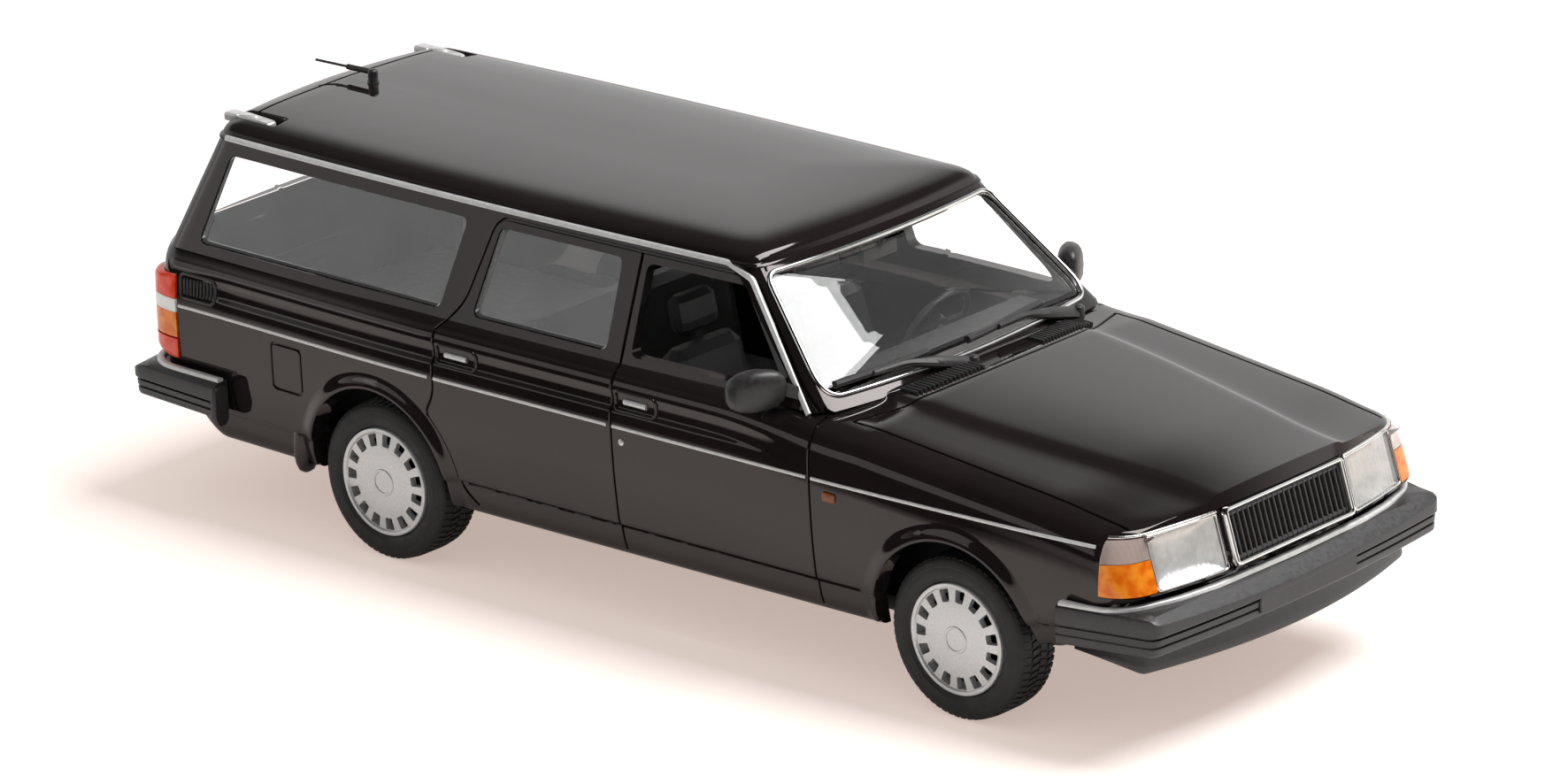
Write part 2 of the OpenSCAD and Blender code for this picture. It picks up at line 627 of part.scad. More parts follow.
module front_bumper() color("#222222") difference() {
    union() {
        for (l = front_bands) translate([0, 0, bumper_foot + l[0] * bumper_height])
            linear_extrude((l[1] - l[0]) * bumper_height) ring_between(
                front_path(bumper_face_x + l[2], front_back_x, half_width + bumper_flare + 0.3 * l[2],
                    front_bow, front_taper), front_inner);
        translate([bumper_face_x - bumper_depth + 0.2, -plate_half, bumper_foot + 0.1 * bumper_height])
            cube([bumper_depth - 0.32, 2 * plate_half, 0.5 * bumper_height]);
    }
    translate([bumper_face_x, 0, bumper_foot + slope_foot * bumper_height])
        rotate([0, atan2((1 - slope_foot) * bumper_height, 1.7), 0])
        translate([-6, -half_width - 3, 0]) cube([8, 2 * half_width + 6, 3]);
}
module front_bumper_strip() color("silver")
    translate([0, 0, bumper_top]) linear_extrude(0.35) ring_between(strip_outer, front_inner);
module rear_bumper() color("#222222") rotate(180)
    bumper_moulding(bumper_face_x, bumper_face_x - rear_bumper_return);
module rear_bumper_strip() color("silver") rotate(180)
    bumper_strip(bumper_face_x, bumper_face_x - rear_bumper_return);

// Air dam below the front bumper, bowed in plan, whose lower edge climbs back to the wings
spoiler_half = half_width - 0.8;
dam_bow = 2.5;
dam_taper = 2.1;
spoiler_depth = 1.2;
spoiler_drop = 2.1;
dam_foot = 0.8;
dam_step = 0.2;
module dam_layer(z0, z1, out, back_x) {
    translate([0, 0, z0]) linear_extrude(z1 - z0) ring_between(
        front_path(nose_x + 0.8 + out, back_x, spoiler_half - dam_step + out, dam_bow, dam_taper),
        front_path(nose_x + 0.8 + out - spoiler_depth, back_x, spoiler_half - dam_step + out - spoiler_depth,
            dam_bow, dam_taper));
}
module front_spoiler() color("#222222") difference() {
    foot = nose_underside - spoiler_drop;
    back_x = front_axle_x + arch_radius + 6.25;
    union() {
        dam_layer(foot, foot + dam_foot, dam_step, back_x + 0.2);
        dam_layer(foot + dam_foot / 2, nose_underside - seat_gap, 0, back_x);
    }
    translate([nose_x - 1.6, 0, foot]) rotate([0, 19, 0]) translate([-9, -half_width, -4])
        cube([9, 2 * half_width, 4]);
}

// Door mirrors on short feet at the front corners of the door windows
mirror_x = screen_foot - 5.5;
mirror_z = wing_top(mirror_x) + 1.2;
mirror_foot_x = screen_foot - 2.9;
mirror_foot_z = wing_top(mirror_foot_x) + 1.6;
mirror_reach = half_width + 1.15;
module mirror_pod(side) color("#222222") {
    root = cabin_side(mirror_foot_x, cabin_level(mirror_foot_z)) + 0.2;
    hull() {
        for (dz = [-0.75, 0.75]) translate([mirror_x, side * mirror_reach, mirror_z + dz])
            scale([1.2, 1, 1]) sphere(0.85, $fn = 12);
        translate([mirror_x + 0.4, side * (root + 1), mirror_z + 0.35]) sphere(0.75, $fn = 12);
    }
    hull() {
        translate([mirror_foot_x, side * (root + 0.15), mirror_foot_z]) cube([1.6, 0.3, 1], center = true);
        translate([mirror_x + 0.7, side * (root + 1.1), mirror_z + 0.35])
            cube([0.8, 0.4, 0.8], center = true);
    }
}

// Wipers
module rod(a, b, d) {
    v = b - a;
    translate(a) rotate([0, acos(v[2] / norm(v)), atan2(v[1], v[0])]) cylinder(d = d, h = norm(v), $fn = 16);
}
wiper_clear = 0.483;
screen_rake = atan2(gutter - belt_height, screen_foot - screen_head);
wiper_lift = wiper_clear / sin(screen_rake);
module bar(a, b, wide, tall) {
    v = b - a;
    translate(a) rotate([0, acos(v[2] / norm(v)), atan2(v[1], v[0])])
        translate([-tall / 2, -wide / 2, 0]) cube([tall, wide, norm(v)]);
}
function screen_point(y, z) = [
    mix(screen_foot, screen_head, cabin_level(z)) + wiper_lift
        + mix(screen_bow_foot, screen_bow_head, cabin_level(z)) * (1 - pow(y / foot_half_front, 2)), y, z];
// Right pivot and ends of its blade across the screen, and the shift of the left wiper
wiper_pivot_y = -1.7;
wiper_blade_y = [-5, -15.2];
wiper_shift = 14.8;
module screen_wipers() color("#222222") for (shift = [0, wiper_shift]) {
    pivot = screen_point(wiper_pivot_y + shift, belt_height - 0.3) + [0.75, 0, 0.4];
    foot = screen_point(wiper_blade_y[0] + shift, belt_height + 0.9);
    tip = screen_point(wiper_blade_y[1] + shift, belt_height + 0.7);
    bar(pivot, mix(foot, tip, 0.3) + [0.25, 0, 0.12], 0.5, 0.35);
    bar(foot, tip, 0.4, 0.55);
    translate(pivot - [0, 0, 0.4]) cylinder(d = 0.9, h = 0.8);
}
module cabin_mirror() color("#222222") {
    top = screen_point(0, gutter - 1.2) - [1.8, 0, 0];
    rod(top, top - [0.5, 0, 1], 0.5);
    translate(top - [0.6, 0, 1.3]) cube([0.5, 4.2, 1.1], center = true);
}
antenna_x = tail_head + 4.8;
module antenna() color("#222222") {
    foot = [antenna_x, 0, roof_z((antenna_x - tail_head + tail_bow + 0.2) / rear_crown) + 0.08];
    translate(foot) cylinder(d = 1.1, h = 0.5);
    rod(foot + [0, 0, 0.3], foot + [-0.6, 0, 1.05], 0.65);
    rod(foot + [-0.45, 0, 1], foot + [-6.5, 0, 1.05], 0.4);
}
hinge_y = head_half_rear - 2.6;
module tailgate_hinges() color("silver") for (side = [-1, 1])
    translate([tail_head, side * hinge_y, roof_z(2.6) + 0.14]) {
        translate([-0.5, -0.5, 0]) cube([4.8, 1, 0.4]);
        translate([-0.5, -0.6, 0]) cube([1.5, 1.2, 0.6]);
    }

// Cabin
tub_floor = base_top() + seat_gap;
function base_top() = sill_height + 0.4 + base_thickness;
tub_wall = 0.8;
tub_half = half_width - wall - 2.6;
cargo_half = well_y - 0.9;
cargo_floor = axle_z + 7.4;
riser_x = rear_axle_x + 9;
module interior_tub() color("#1a1a1a") {
    difference() {
        union() {
            translate([riser_x, -tub_half, tub_floor])
                cube([front_axle_x - 10 - riser_x, 2 * tub_half, tub_wall]);
            translate([tail_x + 5.3, -cargo_half, cargo_floor])
                cube([riser_x + tub_wall - tail_x - 5.3, 2 * cargo_half, tub_wall]);
            translate([riser_x, -cargo_half, tub_floor])
                cube([tub_wall, 2 * cargo_half, cargo_floor - tub_floor + tub_wall]);
        }
        translate([screw_places[1], 0, tub_floor - 1])
            cylinder(r = display_hole_radius + boss_wall + 0.2, h = 4);
    }
}
// Front seats: cushion, back and head rest as padded blocks on a foot
seat_y = half_width - 12.1;
seat_x = middle_gap + 6.3;
seat_z = tub_floor + 3.2;
seat_half = 3;
seat_pad = 1.4;
module padded(places, pad) { hull() for (p = places) translate(p) sphere(pad, $fn = 8); }
module seat(y) translate([seat_x, y, seat_z]) {
    foot = tub_floor + tub_wall + seat_gap - seat_z;
    padded([for (dx = [-3.2, 3.2], dy = [-seat_half, seat_half]) [dx, dy, 0]], seat_pad);
    padded([for (dy = [-seat_half, seat_half], k = [0, 1]) [-4.4 - 2.6 * k, dy, seat_pad + 8 * k]],
        seat_pad - 0.1);
    padded([for (dy = [-1.6, 1.6], k = [0, 1]) [-7.6 - 0.4 * k, dy, 12.2 + 1.6 * k]], 0.9);
    translate([-4.4, -2.5, foot]) cube([6, 5, -foot]);
    translate([-7.7, -0.5, 10]) cube([0.5, 1, 2]);
}
module driver_seat() color("#1a1a1a") seat(seat_y);
module passenger_seat() color("#1a1a1a") seat(-seat_y);
bench_x = riser_x + 6.9;
bench_z = tub_floor + 2.4;
bench_half = tub_half - 5.1;
module rear_bench() color("#1a1a1a") translate([bench_x, 0, bench_z]) {
    padded([for (dx = [-2.6, 2.6], y = [-bench_half, bench_half], z = [0, 1.2]) [dx, y, z]], seat_pad);
    padded([for (k = [0, 1], y = [-bench_half, bench_half]) [-3.4 - 1.4 * k, y, 2.4 + 7.6 * k]],
        seat_pad - 0.1);
}
dash_half = foot_half_front - 3.3;
module dashboard() color("#1a1a1a") hull() {
    translate([screen_foot - 5.1, -dash_half, belt_height - 3.2]) cube([3.2, 2 * dash_half, 2.4]);
    translate([screen_foot - 6.3, -dash_half + 0.2, belt_height - 7]) cube([3, 2 * dash_half - 0.4, 5]);
}
wheel_rim = 3.6;
module steering_wheel() color("#1a1a1a")
    translate([screen_foot - 9.1, seat_y, belt_height - 2.8]) rotate([0, -65, 0]) {
        rotate_extrude($fn = 48) translate([wheel_rim, 0]) circle(0.32, $fn = 16);
        cylinder(r = 1.1, h = 0.6, center = true);
        for (a = [90, 210, 330]) rotate(a) translate([0.8, -0.35, -0.2]) cube([wheel_rim - 1, 0.7, 0.4]);
        translate([0, 0, -2.6]) cylinder(r = 0.5, h = 2.6);
    }

// Base plate with axle saddles and display screw sockets
saddle_half = 9;
boss_wall = 1.2;
module base_plate() color("#202020") {
    half = half_width - wall - 3;
    difference() {
        union() {
            translate([tail_x + 7.3, -half, sill_height + 0.4])
                cube([front_axle_x + 6 - tail_x - 7.3, 2 * half, base_thickness]);
            for (x = [front_axle_x, rear_axle_x])
                translate([x - 1.8, -saddle_half, axle_z - 1.6]) cube([3.6, 2 * saddle_half, 3.2]);
            for (x = screw_places)
                translate([x, 0, sill_height + 0.4])
                    cylinder(r = display_hole_radius + boss_wall, h = display_hole_depth + 0.8);
        }
        for (x = [front_axle_x, rear_axle_x], side = [-1, 1])
            translate([x - arch_radius - 0.4, side > 0 ? well_y : -half_width, sill_height - 1])
                cube([2 * arch_radius + 0.8, half_width - well_y, 12]);
        for (x = [front_axle_x, rear_axle_x])
            translate([x, 0, axle_z]) rotate([90, 0, 0])
                cylinder(r = axle_diameter / 2 + axle_clearance, h = body_width, center = true);
        for (x = screw_places)
            translate([x, 0, sill_height + 0.4 - 0.01])
                cylinder(r = display_hole_radius, h = display_hole_depth + 0.01);
    }
}
// Wheels: steel pins with moulded covers and rubber tyres
hub_face = face_y + 0.1;
module axle(x) color("silver")
    translate([x, 0, axle_z]) rotate([90, 0, 0])
        cylinder(d = axle_diameter, h = 2 * (face_y - 1.4), center = true);
rim_radius = cover_diameter / 2;
module rim_profile() polygon([
    [axle_diameter / 2 + 0.02, -tyre_width + 0.8], [axle_diameter / 2 + 1, -tyre_width + 0.8],
    [axle_diameter / 2 + 1, -1.4], [rim_radius - 0.9, -1.4], [rim_radius - 0.9, -tyre_width + 0.5],
    [rim_radius - 0.35, -tyre_width + 0.5], [rim_radius - 0.35, -0.75], [rim_radius, -0.45],
    [rim_radius, -0.05], [rim_radius - 0.15, 0.08], [rim_radius - 0.4, 0.02], [rim_radius - 1.3, -0.1], [1.1, 0.15],
    [0, 0.15], [0, -0.9], [axle_diameter / 2 + 0.02, -0.9]]);
module rim(x, side) color("gainsboro")
    translate([x, side * face_y, axle_z]) rotate([side > 0 ? -90 : 90, 0, 0]) difference() {
        rotate_extrude($fn = 64) rim_profile();
        for (i = [0:cover_slots - 1]) rotate(360 * i / cover_slots)
            translate([rim_radius - 1.35, -0.3, -0.8]) cube([0.85, 0.6, 2]);
    }
bead = 0.06;
module tyre(x, side) color("#181818")
    translate([x, side * face_y, axle_z]) rotate([side > 0 ? -90 : 90, 0, 0]) rotate_extrude($fn = 48) polygon([
        [rim_radius - 0.35 + bead, -tyre_width + 0.5], [rim_radius + 0.3, -tyre_width + 0.1],
        [axle_z - 0.5, -tyre_width], [axle_z - 0.1, -tyre_width + 0.3], [axle_z, -tyre_width + 0.8],
        [axle_z, -0.8], [axle_z - 0.1, -0.35], [axle_z - 0.5, 0], [rim_radius + 0.9, 0.1],
        [rim_radius + bead, -0.15], [rim_radius + bead, -0.6], [rim_radius - 0.35 + bead, -0.9]]);

body_shell();
base_plate();
interior_tub();
driver_seat();
passenger_seat();
rear_bench();
dashboard();
steering_wheel();
windscreen();
rear_door_glass();
cargo_glass();
tailgate_glass();
front_bumper();
front_bumper_strip();
front_spoiler();
rear_bumper();
rear_bumper_strip();
grille_slats();
grille_frame();
headlamp(-1);  // headlamp_right
headlamp(1);  // headlamp_left
corner_lamp(-1);  // corner_lamp_right
corner_lamp(1);  // corner_lamp_left
tail_lamp(-1);  // tail_lamp_right
tail_lamp(1);  // tail_lamp_left
mirror_pod(-1);  // mirror_right
mirror_pod(1);  // mirror_left
screen_wipers();
cabin_mirror();
antenna();
tailgate_hinges();
axle(front_axle_x);  // front_axle
axle(rear_axle_x);  // rear_axle
rim(front_axle_x, -1);  // rim_front_right
rim(front_axle_x, 1);  // rim_front_left
rim(rear_axle_x, -1);  // rim_rear_right
rim(rear_axle_x, 1);  // rim_rear_left
tyre(front_axle_x, -1);  // tyre_front_right
tyre(front_axle_x, 1);  // tyre_front_left
tyre(rear_axle_x, -1);  // tyre_rear_right
tyre(rear_axle_x, 1);  // tyre_rear_left
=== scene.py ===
import math

import bpy
import numpy as np
from bpy.props import FloatProperty, FloatVectorProperty, IntProperty, PointerProperty
from mathutils import Matrix, Vector
from mathutils.bvhtree import BVHTree


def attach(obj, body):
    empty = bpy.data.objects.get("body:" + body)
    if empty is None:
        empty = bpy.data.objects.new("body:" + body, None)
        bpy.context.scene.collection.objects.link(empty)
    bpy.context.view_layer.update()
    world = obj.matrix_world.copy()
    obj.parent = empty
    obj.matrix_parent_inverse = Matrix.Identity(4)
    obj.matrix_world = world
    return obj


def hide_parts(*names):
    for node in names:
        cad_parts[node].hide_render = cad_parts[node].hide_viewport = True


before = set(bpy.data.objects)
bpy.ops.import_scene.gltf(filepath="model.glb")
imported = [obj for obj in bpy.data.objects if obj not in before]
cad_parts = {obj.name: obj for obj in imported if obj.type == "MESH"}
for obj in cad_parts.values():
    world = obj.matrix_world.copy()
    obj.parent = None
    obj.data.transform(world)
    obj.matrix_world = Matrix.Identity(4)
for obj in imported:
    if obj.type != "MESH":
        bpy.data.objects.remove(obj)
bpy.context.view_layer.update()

bl_info = {
    "name": "Die-cast station wagon",
    "version": (1, 0, 0),
    "blender": (4, 5, 0),
    "location": "View3D > Sidebar > Wagon",
    "description": "Dresses a 1:43 die-cast station wagon: lacquered casting, bright trim, lamps and wheels",
    "category": "Object",
}

MM = 0.001

# Sizes of the casting, in millimetres
HALF_WIDTH, NOSE_X, TAIL_X = 19.7, 54.0, -53.3
FRONT_AXLE_X, REAR_AXLE_X, AXLE_Z, FACE_Y = 35.05, -26.55, 6.8, 18.5
SILL, DOOR_FOOT, STRIP, BELT, SHOULDER, GUTTER, ROOF = 6.1, 9.0, 17.7, 23.4, 22.6, 32.0, 33.7
BONNET_FRONT, BONNET_REAR, BONNET_RISE = 18.4, 21.5, 1.45
COWL, FRONT_GAP, MIDDLE_GAP, REAR_GAP = 25.7, 21.3, 0.1, -19.5
SCREEN_FOOT, SCREEN_HEAD, TAIL_FOOT, TAIL_HEAD = 20.0, 11.2, -51.4, -48.4
WINDOW_FOOT, WINDOW_HEAD, PANE = 23.23, 30.6, 0.6
BUMPER_FOOT, BUMPER_HEIGHT, BUMPER_DEPTH, BUMPER_FACE = 9.5, 3.2, 1.7, 56.0
BUMPER_TOP = BUMPER_FOOT + BUMPER_HEIGHT
ARCH_RADIUS, ARCH_Z, WALL = 7.9, AXLE_Z + 0.5, 1.0
CORNER_ROUND, NOSE_LEAN, NOSE_SWEEP, TAIL_BOW = 2.4, 0.3, 2.6, 1.0
LAMP_FOOT, LAMP_HEAD, LAMP_SPLIT, GRILLE_HALF = 13.9, 18.2, 15.6, 7.6
TAIL_LAMP_FOOT, TAIL_LAMP_HEAD, TAIL_LAMP_INNER, TAIL_LAMP_REACH = 13.0, 20.4, 14.62, 3.56
LEAN_LEVEL = LAMP_FOOT + (BONNET_FRONT - LAMP_FOOT) * 0.53
NOSE_UNDERSIDE = BUMPER_FOOT - 0.2
HEAD_HALF_FRONT, HEAD_HALF_REAR, FOOT_HALF_FRONT, FOOT_HALF_REAR = 14.3, 14.2, 17.4, 17.2
TYRE_RADIUS, TYRE_WIDTH, COVER_RADIUS = 6.8, 4.4, 4.65
# Plan of the greenhouse: rounding of its corners, and how far the screen bows forward at its foot and head
CABIN_ROUND, BOW_FOOT, BOW_HEAD = 1.6, 2.0, 1.0
# The tailgate hinges lie in shallow recesses of the roof
HINGE_Y, HINGE_Z = 11.7, 32.55
# The picture's camera: angles in degrees, distance and aim in millimetres, the rest in pixels of the picture
CAMERA_TURN, CAMERA_RISE, CAMERA_ROLL, CAMERA_FAR, CAMERA_AIM = 41.034, 19.241, -1.535, 739.06, (4.25, 0, 14.68)
PICTURE_WIDE, FOCAL, OFF_RIGHT, OFF_UP, SENSOR_MM = 1772, 10190.8, -28.175, 15.75, 36

CARGO_WINDOW = [(TAIL_FOOT + 3.4, WINDOW_FOOT), (TAIL_HEAD + 2.2, WINDOW_HEAD),
                (REAR_GAP + 0.9, WINDOW_HEAD), (REAR_GAP - 0.4, WINDOW_FOOT)]
REAR_DOOR_WINDOW = [(REAR_GAP + 3.2, WINDOW_FOOT), (REAR_GAP + 4.5, WINDOW_HEAD - 0.15),
                    (MIDDLE_GAP - 1.9, WINDOW_HEAD - 0.15), (MIDDLE_GAP - 1.7, WINDOW_FOOT)]
FRONT_DOOR_WINDOW = [(MIDDLE_GAP + 0.9, WINDOW_FOOT), (MIDDLE_GAP + 0.7, WINDOW_HEAD - 0.15),
                     (SCREEN_HEAD - 0.3, WINDOW_HEAD - 0.15), (SCREEN_FOOT - 2.6, WINDOW_FOOT)]
SCREEN_OPENING = [(-FOOT_HALF_FRONT + 0.9, BELT - 0.05), (-HEAD_HALF_FRONT + 0.6, GUTTER - 0.8),
                  (HEAD_HALF_FRONT - 0.6, GUTTER - 0.8), (FOOT_HALF_FRONT - 0.9, BELT - 0.05)]
TAILGATE_OPENING = [(-FOOT_HALF_REAR + 3, BELT + 0.4), (-HEAD_HALF_REAR + 2.4, GUTTER - 1.47),
                    (HEAD_HALF_REAR - 2.4, GUTTER - 1.47), (FOOT_HALF_REAR - 3, BELT + 0.4)]


# Curves of the casting

def mix(a, b, t):
    return a + (b - a) * t


def ease(v):
    t = np.clip(v, 0.0, 1.0)
    return t * t * (3 - 2 * t)


def bend(a, c, b, t):
    return (1 - t) ** 2 * a + 2 * t * (1 - t) * c + t * t * b


def wing_top(x):
    front = mix(BONNET_REAR, BONNET_FRONT, (x - COWL) / (NOSE_X - COWL))
    rear = mix(SHOULDER, BONNET_REAR, ease((x - SCREEN_HEAD) / (COWL - SCREEN_HEAD)))
    return np.where(x > COWL, front, rear)


def underside(x):
    return (SILL + 1.8 * ease((x - FRONT_AXLE_X) / ARCH_RADIUS)
            + (NOSE_UNDERSIDE - SILL - 1.8) * ease((x - FRONT_AXLE_X - ARCH_RADIUS - 1) / 5.5)
            + (NOSE_UNDERSIDE - SILL) * ease((TAIL_X + 7 - x) / 6))


def flank_y(x, inset=0.0):
    plan = (0.75 * ease((x - FRONT_GAP) / (NOSE_X - FRONT_GAP))
            + 1.1 * ease((REAR_GAP - x) / (REAR_GAP - TAIL_X)))
    u = np.clip(np.minimum(NOSE_X - inset - x, x - TAIL_X - inset) / CORNER_ROUND, 0, 1)
    return HALF_WIDTH - inset - plan - CORNER_ROUND * (1 - np.sqrt(1 - (1 - u) ** 2))


def half_section(x, inset=0.0, drop=0.0):
    """Half of the cross-section at one station, from the middle of the underside up to the middle of the top."""
    y = float(flank_y(x, inset))
    foot = float(underside(x)) - drop
    edge = float(wing_top(x)) - inset
    strip = STRIP * float(wing_top(x)) / SHOULDER - 0.3 * inset
    span = edge - strip
    rise = mix(BELT - SHOULDER, BONNET_RISE, float(ease((x - SCREEN_HEAD) / (COWL - SCREEN_HEAD))))
    crease = mix(HALF_WIDTH - 8.9, HALF_WIDTH - 11.7, float(ease((x - COWL) / (NOSE_X - COWL))))
    hinge = 0.3 * float(ease((x - TAIL_X - 4) / 6) * (1 - ease((x - FRONT_GAP + 12) / 12)))
    fold = max(DOOR_FOOT, foot + 2.1)
    return np.array([
        (0, foot), (y - 2.1, foot), (y - 1.4, foot + 0.3), (y - 0.95, foot + 1.6), (y - 0.75, fold),
        (y - 0.42, fold + 0.25), (y - 0.08, mix(DOOR_FOOT, strip, 0.5)), (y, strip),
        (y - 0.05, strip + 0.24 * span), (y - 0.08 - hinge, strip + 0.33 * span),
        (y - 0.12 - hinge, strip + 0.52 * span), (y - 0.2, strip + 0.62 * span), (y - 0.5, strip + 0.82 * span),
        (y - 1.35, edge), (y - 2.4, edge + 0.3 * rise), (min(crease + 0.7, y - 3), edge + 0.52 * rise),
        (min(crease, y - 3.4), edge + 0.78 * rise), (crease * 0.5, edge + 0.95 * rise), (0, edge + rise)])


# How much of each side of a section corner is rounded away: half makes a flowing curve, little keeps a crease
SECTION_ROUND = [0.5, 0.3, 0.5, 0.35, 0.3, 0.35, 0.5, 0.3, 0.4, 0.4, 0.4, 0.4, 0.5, 0.5, 0.5, 0.35, 0.35, 0.5, 0.5]


def nose_offset(z):
    foot = BUMPER_TOP + 1
    behind = 2 - BUMPER_DEPTH - 0.8 - 0.42
    return mix(NOSE_LEAN * (LEAN_LEVEL - np.maximum(z, foot)), behind, np.clip(foot - z, 0, 1))


def placed(x, points):
    """Points (y, z) of a section set at station x, with the nose leaning and both ends swept back at their corners."""
    y, z = points[:, 0], points[:, 1]
    front = ease((x - FRONT_AXLE_X - 8) / (NOSE_X - FRONT_AXLE_X - 8))
    rear = ease((REAR_AXLE_X - 12 - x) / (REAR_AXLE_X - 12 - TAIL_X))
    share = (y / HALF_WIDTH) ** 2
    return np.stack([x + front * (nose_offset(z) - NOSE_SWEEP * share) + rear * TAIL_BOW * share, y, z], 1)


def mirrored(half):
    other = half[-2:0:-1] * (-1, 1)
    return np.concatenate([half, other])


def rounded_ring(points, shares, steps):
    """A closed outline with its corners turned into short curves."""
    before, after = np.roll(points, 1, 0), np.roll(points, -1, 0)
    shares = np.asarray(shares)[:, None]
    a, b = mix(points, before, shares), mix(points, after, shares)
    curve = [bend(a, points, b, (k + 0.5) / steps) for k in range(steps)]
    return np.stack(curve, 1).reshape(-1, points.shape[1])


def lower_rings(inset=0.0, steps=5, pitch=0.5):
    a, b, r = TAIL_X + inset, NOSE_X - inset, CORNER_ROUND
    turn = np.radians(np.arange(0, 90, 6))
    middle = np.linspace(a + r, b - r, int((b - a - 2 * r) / pitch))
    stations = np.concatenate([a + r * (1 - np.cos(turn)), middle, (b - r * (1 - np.cos(turn)))[::-1]])
    shares = SECTION_ROUND + SECTION_ROUND[-2:0:-1]
    ends = [0.1, 0.25, 0.45, 0.65, 0.8, 0.92, 0.98]
    level = mix(SILL, BONNET_FRONT, 0.5)
    rings = []
    for index, x in enumerate(stations):
        ring = rounded_ring(mirrored(half_section(x, inset)), shares, steps)
        caps = [np.stack([ring[:, 0] * k, mix(level, ring[:, 1], k)], 1) for k in ends]
        if index == 0:
            rings += [placed(x, cap) for cap in caps]
        rings.append(placed(x, ring))
        if index == len(stations) - 1:
            rings += [placed(x, cap) for cap in caps[::-1]]
    return np.array(rings)


def hollow_rings():
    """Hollow of the lower casting, drawn plainly because little of it shows."""
    inset = WALL + 0.25
    a, b, r = TAIL_X + inset, NOSE_X - inset, CORNER_ROUND
    stations = [a, a + 0.7, a + r, mix(a, REAR_GAP, 0.4), REAR_GAP - 0.5, MIDDLE_GAP - 0.1, SCREEN_HEAD + 0.8,
                SCREEN_FOOT - 0.7, COWL, FRONT_AXLE_X + 1.3, FRONT_AXLE_X + 8, b - r - 3, b - r, b - 0.7, b]
    keep = [0, 1, 4, 7, 11, 13, 14, 18]
    return np.array([placed(x, mirrored(half_section(x, inset, 4)[keep])) for x in stations])


def cabin_level(z):
    return (z - BELT) / (GUTTER - BELT)


def cabin_side(x, t):
    front, rear = mix(SCREEN_FOOT, SCREEN_HEAD, t), mix(TAIL_FOOT, TAIL_HEAD, t)
    s = (x - rear) / (front - rear)
    return (mix(mix(FOOT_HALF_REAR, HEAD_HALF_REAR, t), mix(FOOT_HALF_FRONT, HEAD_HALF_FRONT, t), s)
            + 0.7 * 4 * s * (1 - s))


def screen_x(y, z, inset=0.0):
    """Front face of the greenhouse at a width and height."""
    t = cabin_level(z)
    front = mix(SCREEN_FOOT, SCREEN_HEAD, t) - inset
    reach = cabin_side(front - CABIN_ROUND, t) - inset + 0.2 * CABIN_ROUND
    return front + mix(BOW_FOOT, BOW_HEAD, t) * (1 - (y / reach) ** 2)


def tailgate_x(y, z, inset=0.0):
    """Rear face of the greenhouse at a width and height."""
    t = cabin_level(z)
    rear = mix(TAIL_FOOT, TAIL_HEAD, t) + inset
    reach = cabin_side(rear + CABIN_ROUND, t) - inset - CABIN_ROUND
    return rear - 0.2 - TAIL_BOW * (1 - np.minimum(1, (y / reach) ** 2))


def cabin_ring(z, inset, tail_inset, lip, fine=True):
    """One plan outline of the greenhouse, drawn in by its insets, with the sides pushed out by the gutter lip."""
    t = cabin_level(min(max(z, BELT - 1), GUTTER))
    front = mix(SCREEN_FOOT, SCREEN_HEAD, t) - inset
    rear = mix(TAIL_FOOT, TAIL_HEAD, t) + tail_inset
    bow = max(0.0, mix(BOW_FOOT, BOW_HEAD, t) - 0.05 * inset)
    r = CABIN_ROUND

    def side(x):
        return np.maximum(0.2, cabin_side(x, t) - inset + lip)

    yf, yr = float(side(front - r)) - r * 0.8, float(side(rear + r)) - r
    counts = (22, 9, 110, 9, 18) if fine else (4, 3, 8, 3, 4)
    y = np.linspace(0, yf, counts[0])
    part = [np.stack([front + bow * (1 - (y / (yf + r)) ** 2), y], 1)]
    k = np.linspace(0, 1, counts[1] + 1, endpoint=False)[1:]
    part.append(np.stack([bend(front + bow * (1 - (yf / (yf + r)) ** 2), front, front - r, k),
                          bend(yf, float(side(front)), float(side(front - r)), k)], 1))
    x = np.linspace(front - r, rear + r, counts[2])
    part.append(np.stack([x, side(x)], 1))
    k = np.linspace(0, 1, counts[3] + 1, endpoint=False)[1:]
    part.append(np.stack([bend(rear + r, rear, rear - 0.2, k),
                          bend(float(side(rear + r)), float(side(rear)), yr, k)], 1))
    y = np.linspace(yr, 0, counts[4])
    part.append(np.stack([rear - 0.2 - TAIL_BOW * (1 - (y / yr) ** 2), y], 1))
    left = np.concatenate(part)
    ring = np.concatenate([left, left[-2:0:-1] * (1, -1)])
    return np.column_stack([ring, np.full(len(ring), z)])


CROWN = np.array([(0, 0), (0.3, 0.25), (1, 0.5), (2.9, 0.75), (6.5, 0.92), (11.5, 1.0)])
# The roof stays nearly flat up to its rear edge
REAR_CROWN = 0.3


def crown_share(inset):
    """Share of the roof crown's height reached at an inset, as one smooth rising curve."""
    x, y = CROWN[:, 0], CROWN[:, 1]
    h, slope = np.diff(x), np.diff(y) / np.diff(x)
    m = np.zeros(len(x))
    m[0] = slope[0]
    m[1:-1] = 2 * slope[:-1] * slope[1:] / (slope[:-1] + slope[1:])
    i = np.clip(np.searchsorted(x, inset) - 1, 0, len(h) - 1)
    t = np.clip((inset - x[i]) / h[i], 0, 1)
    return ((1 + 2 * t) * (1 - t) ** 2 * y[i] + t * (1 - t) ** 2 * h[i] * m[i]
            + t * t * (3 - 2 * t) * y[i + 1] + t * t * (t - 1) * h[i] * m[i + 1])


def roof_z(inset):
    return GUTTER + (ROOF - GUTTER) * float(crown_share(np.array(inset)))


